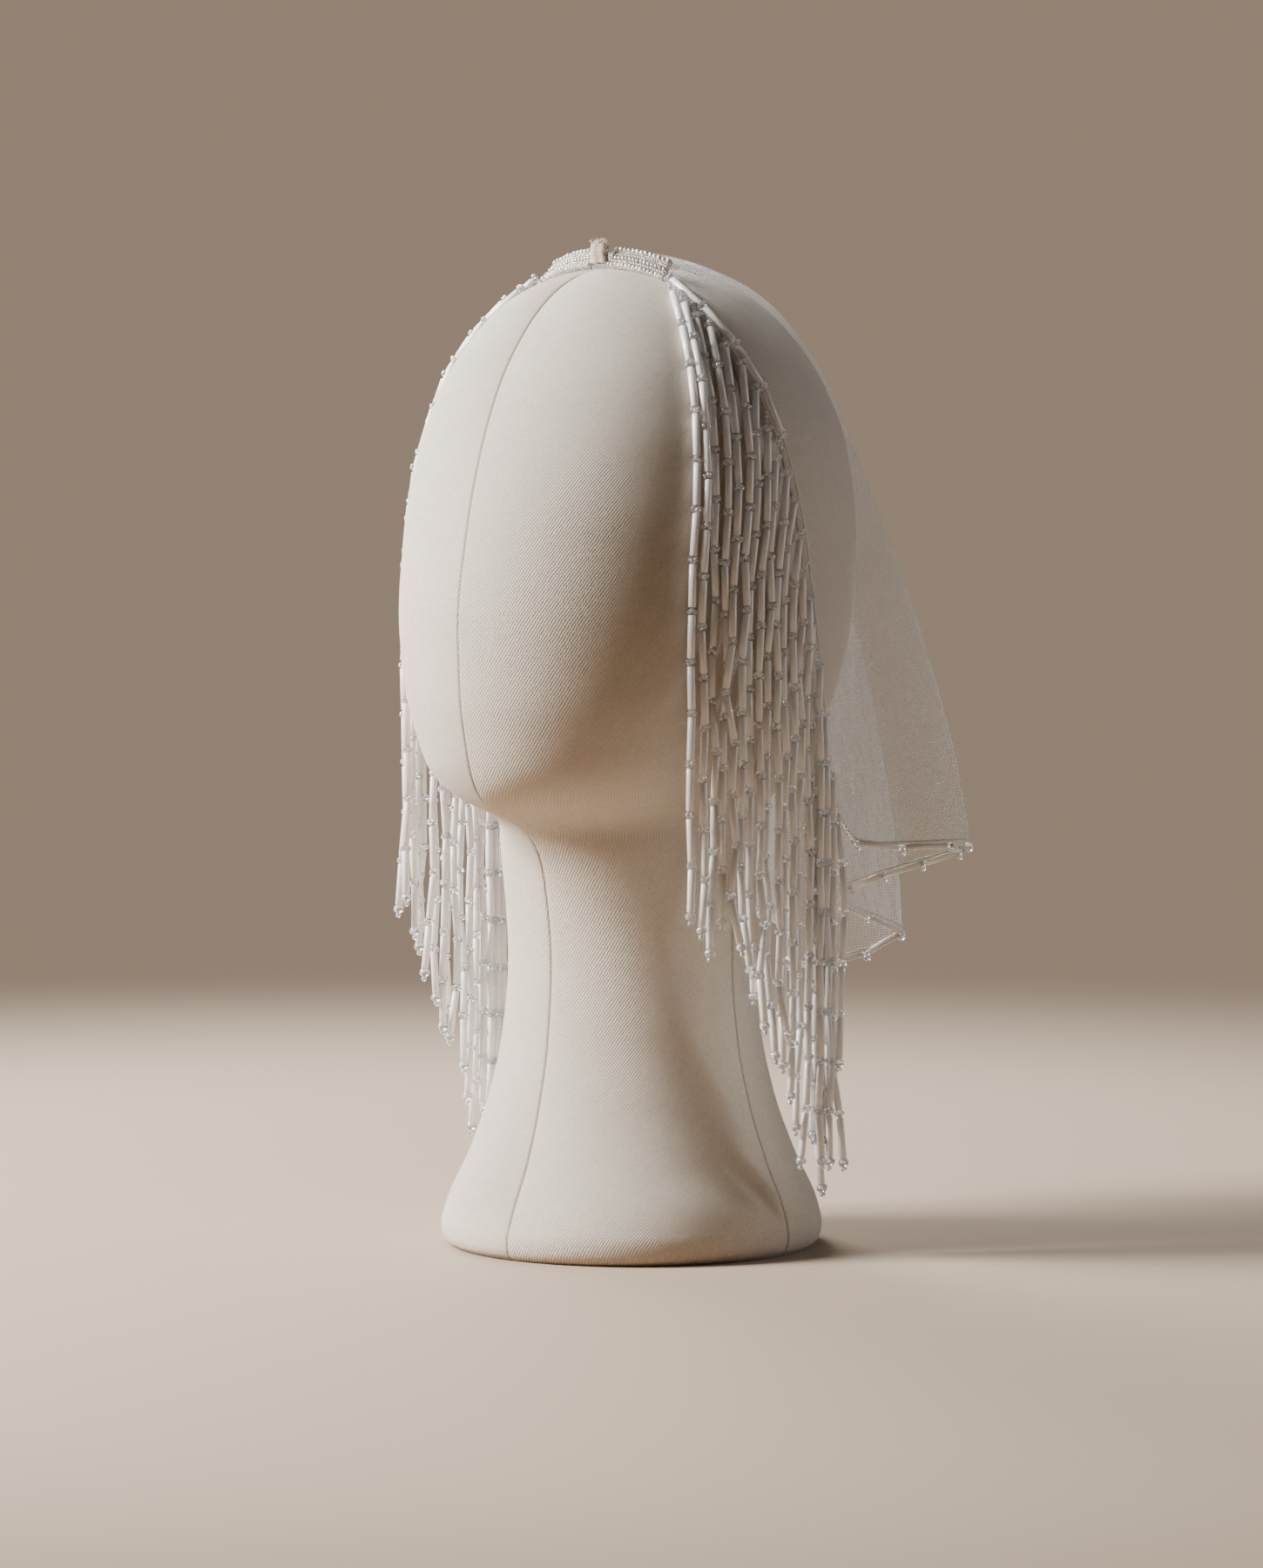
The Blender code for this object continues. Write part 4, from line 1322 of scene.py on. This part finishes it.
def buildWad():
    # folded net tape at the centre: stacked curled plies with a frayed top
    rng = random.Random(8)
    foot = bandFoot(np.array(0.0))
    wide, tall, deep = band["loopWidth"], band["loopTall"], band["loopDepth"]
    bm = bmesh.new()
    bm.loops.layers.uv.new("clothUV")
    for ply in range(band["plies"]):
        share = ply / (band["plies"] - 1)
        part = bmesh.ops.create_grid(bm, x_segments=16, y_segments=14, size=1.0, calc_uvs=True)["verts"]
        for vert in part:
            across, up = vert.co.x, (vert.co.y + 1.0) / 2
            waves = math.sin(6.0 * across + 2.1 * ply) + 0.8 * math.sin(9.0 * up + 2.3 * ply)
            pinch = 1.0 - 0.1 * math.sin(math.pi * up) - 0.1 * up**3 * abs(math.sin(3.0 * ply))
            x = across * (wide / 2 + 0.25) * pinch + 0.22 * math.sin(7.0 * up + 2.0 * ply)
            bulge = 0.5 * (1.0 - across**2) * (1.0 - 2 * share)
            spread = 0.5 + (share - 0.5) * (1.0 - 0.75 * across**4)
            y = -0.25 + (deep - 0.9) * spread + 0.2 * waves - bulge
            low = 0.05 * math.sin(4.0 * ply) + 0.2 * across**4 + 0.12 * (2 * share - 1.0) ** 2
            z = 0.5 + tall * up * (1.0 - 0.04 * across**2 - low) + 0.2 * math.sin(5.0 * across + ply)
            vert.co = Vector((foot[0] + x, foot[1] + y, foot[2] + z)) * mm
    bmesh.ops.solidify(bm, geom=bm.faces[:], thickness=0.28 * mm)
    bmesh.ops.recalc_face_normals(bm, faces=bm.faces)
    wad = addPiece("centreTape", bm, netTape)
    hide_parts("centre_loop")
    lines = []
    for index in range(band["fray"]):
        x = rng.uniform(-wide / 2 + 0.9, wide / 2 - 0.9)
        y = rng.uniform(-0.4, deep - 0.9)
        start = foot + np.array([x, y, tall - rng.uniform(0.6, 2.2)])
        tip = start + np.array([rng.uniform(-1.2, 1.2), rng.uniform(-1.1, 1.1), rng.uniform(1.2, 2.6)])
        bend = (start + tip) / 2 + np.array([rng.uniform(-0.4, 0.4), rng.uniform(-0.4, 0.4), 0.2])
        lines.append([start, bend, tip])
    buildCord("frayThreads", lines, 0.1, netTape, 4)


buildWad()
print("band made")


def seenRays(tree):
    # rays that end in the picture: straight, mirrored or through glass
    rays = tree.nodes.new("ShaderNodeLightPath")
    seen = mathNode(tree, "MAXIMUM", rays.outputs["Is Camera Ray"], rays.outputs["Is Glossy Ray"])
    return mathNode(tree, "MAXIMUM", seen, rays.outputs["Is Transmission Ray"])


def buildStage():
    bm = bmesh.new()
    bmesh.ops.create_circle(bm, cap_ends=True, segments=96, radius=7.0)
    mesh = bpy.data.meshes.new("floor")
    bm.to_mesh(mesh)
    bm.free()
    floor = bpy.data.objects.new("floor", mesh)
    bpy.context.scene.collection.objects.link(floor)
    made, tree, shader = newFinish("floorPaint", studio["floorColour"][:3], 0.75)
    # the floor fades into the wall's colour away from the form, so that no horizon shows
    reach = tree.nodes.new("ShaderNodeVectorMath")
    reach.operation = "LENGTH"
    tree.links.new(objectSocket(tree), reach.inputs[0])
    fade = tree.nodes.new("ShaderNodeMapRange")
    fade.interpolation_type = "SMOOTHERSTEP"
    fade.inputs["From Min"].default_value = studio["floorInner"]
    fade.inputs["From Max"].default_value = studio["floorOuter"]
    tree.links.new(reach.outputs["Value"], fade.inputs["Value"])
    seen, black = seenRays(tree), (0.0, 0.0, 0.0)
    # the near floor shows its own colour and throws a warmer, darker one back at the form
    near = tinted(tree, seen, studio["bounceColour"][:3], studio["floorColour"][:3])
    ground = tinted(tree, fade.outputs["Result"], black, black)
    tree.links.new(near, ground.node.inputs["A"])
    tree.links.new(ground, shader.inputs["Base Color"])
    glow = tinted(tree, fade.outputs["Result"], black, studio["wallColour"][:3])
    tree.links.new(glow, shader.inputs["Emission Color"])
    # the far floor gives the camera its full colour and the form only part of it as light
    glow = mathNode(tree, "MAXIMUM", seen, studio["farGlow"])
    tree.links.new(glow, shader.inputs["Emission Strength"])
    shader.inputs["Specular IOR Level"].default_value = 0.0
    floor.data.materials.append(made)


def buildAir():
    # soft even light all round, and the wall's colour where the camera looks past the floor
    world = bpy.data.worlds.new("air")
    world.use_nodes = True
    bpy.context.scene.world = world
    tree = world.node_tree
    light = tree.nodes["Background"]
    light.inputs["Color"].default_value = studio["airColour"]
    light.inputs["Strength"].default_value = studio["airStrength"]
    wall = tree.nodes.new("ShaderNodeBackground")
    wall.inputs["Color"].default_value = studio["wallColour"]
    mix = tree.nodes.new("ShaderNodeMixShader")
    tree.links.new(seenRays(tree), mix.inputs["Fac"])
    tree.links.new(light.outputs["Background"], mix.inputs[1])
    tree.links.new(wall.outputs["Background"], mix.inputs[2])
    tree.links.new(mix.outputs["Shader"], tree.nodes["World Output"].inputs["Surface"])


def addLight(name, place, target, size, power, colour):
    data = bpy.data.lights.new(name, "AREA")
    data.shape = "RECTANGLE"
    data.size, data.size_y = size
    data.energy = power
    data.color = colour
    lamp = bpy.data.objects.new(name, data)
    lamp.location = place
    lamp.rotation_euler = (Vector(target) - Vector(place)).to_track_quat("-Z", "Y").to_euler()
    bpy.context.scene.collection.objects.link(lamp)


def addCamera():
    azimuth, pitch = math.radians(studio["azimuth"]), math.radians(studio["pitch"])
    data = bpy.data.cameras.new("camera")
    data.sensor_fit = "AUTO"
    data.sensor_width = 36.0
    data.lens = studio["lens"]
    camera = bpy.data.objects.new("camera", data)
    camera.location = (
        studio["distance"] * math.sin(azimuth),
        -studio["distance"] * math.cos(azimuth),
        studio["height"],
    )
    camera.rotation_euler = (math.pi / 2 - pitch, 0.0, azimuth)
    bpy.context.scene.collection.objects.link(camera)
    bpy.context.scene.camera = camera


def placeAround(azimuth, distance, height):
    # azimuth 0 is in front of the face, positive towards the wearer's left
    turn = math.radians(azimuth)
    return (distance * math.sin(turn), -distance * math.cos(turn), height)


buildStage()
buildAir()
addCamera()
# lights: name, azimuth, distance, height, size, power, colour
lightTable = [
    ("key", studio["keyAzimuth"], 1.68, 1.2, (0.7, 0.9), studio["keyPower"], (1.0, 0.955, 0.9)),
    ("back", studio["backAzimuth"], 1.9, 1.2, (1.0, 1.0), studio["backPower"], (1.0, 0.98, 0.95)),
    ("strip", studio["stripAzimuth"], 1.9, 0.7, (0.05, 1.1), studio["stripPower"], (0.97, 0.98, 1.0)),
]
for name, azimuth, distance, height, size, power, colour in lightTable:
    addLight(name, placeAround(azimuth, distance, height), (0.0, 0.0, 0.22), size, power, colour)
print("stage made")
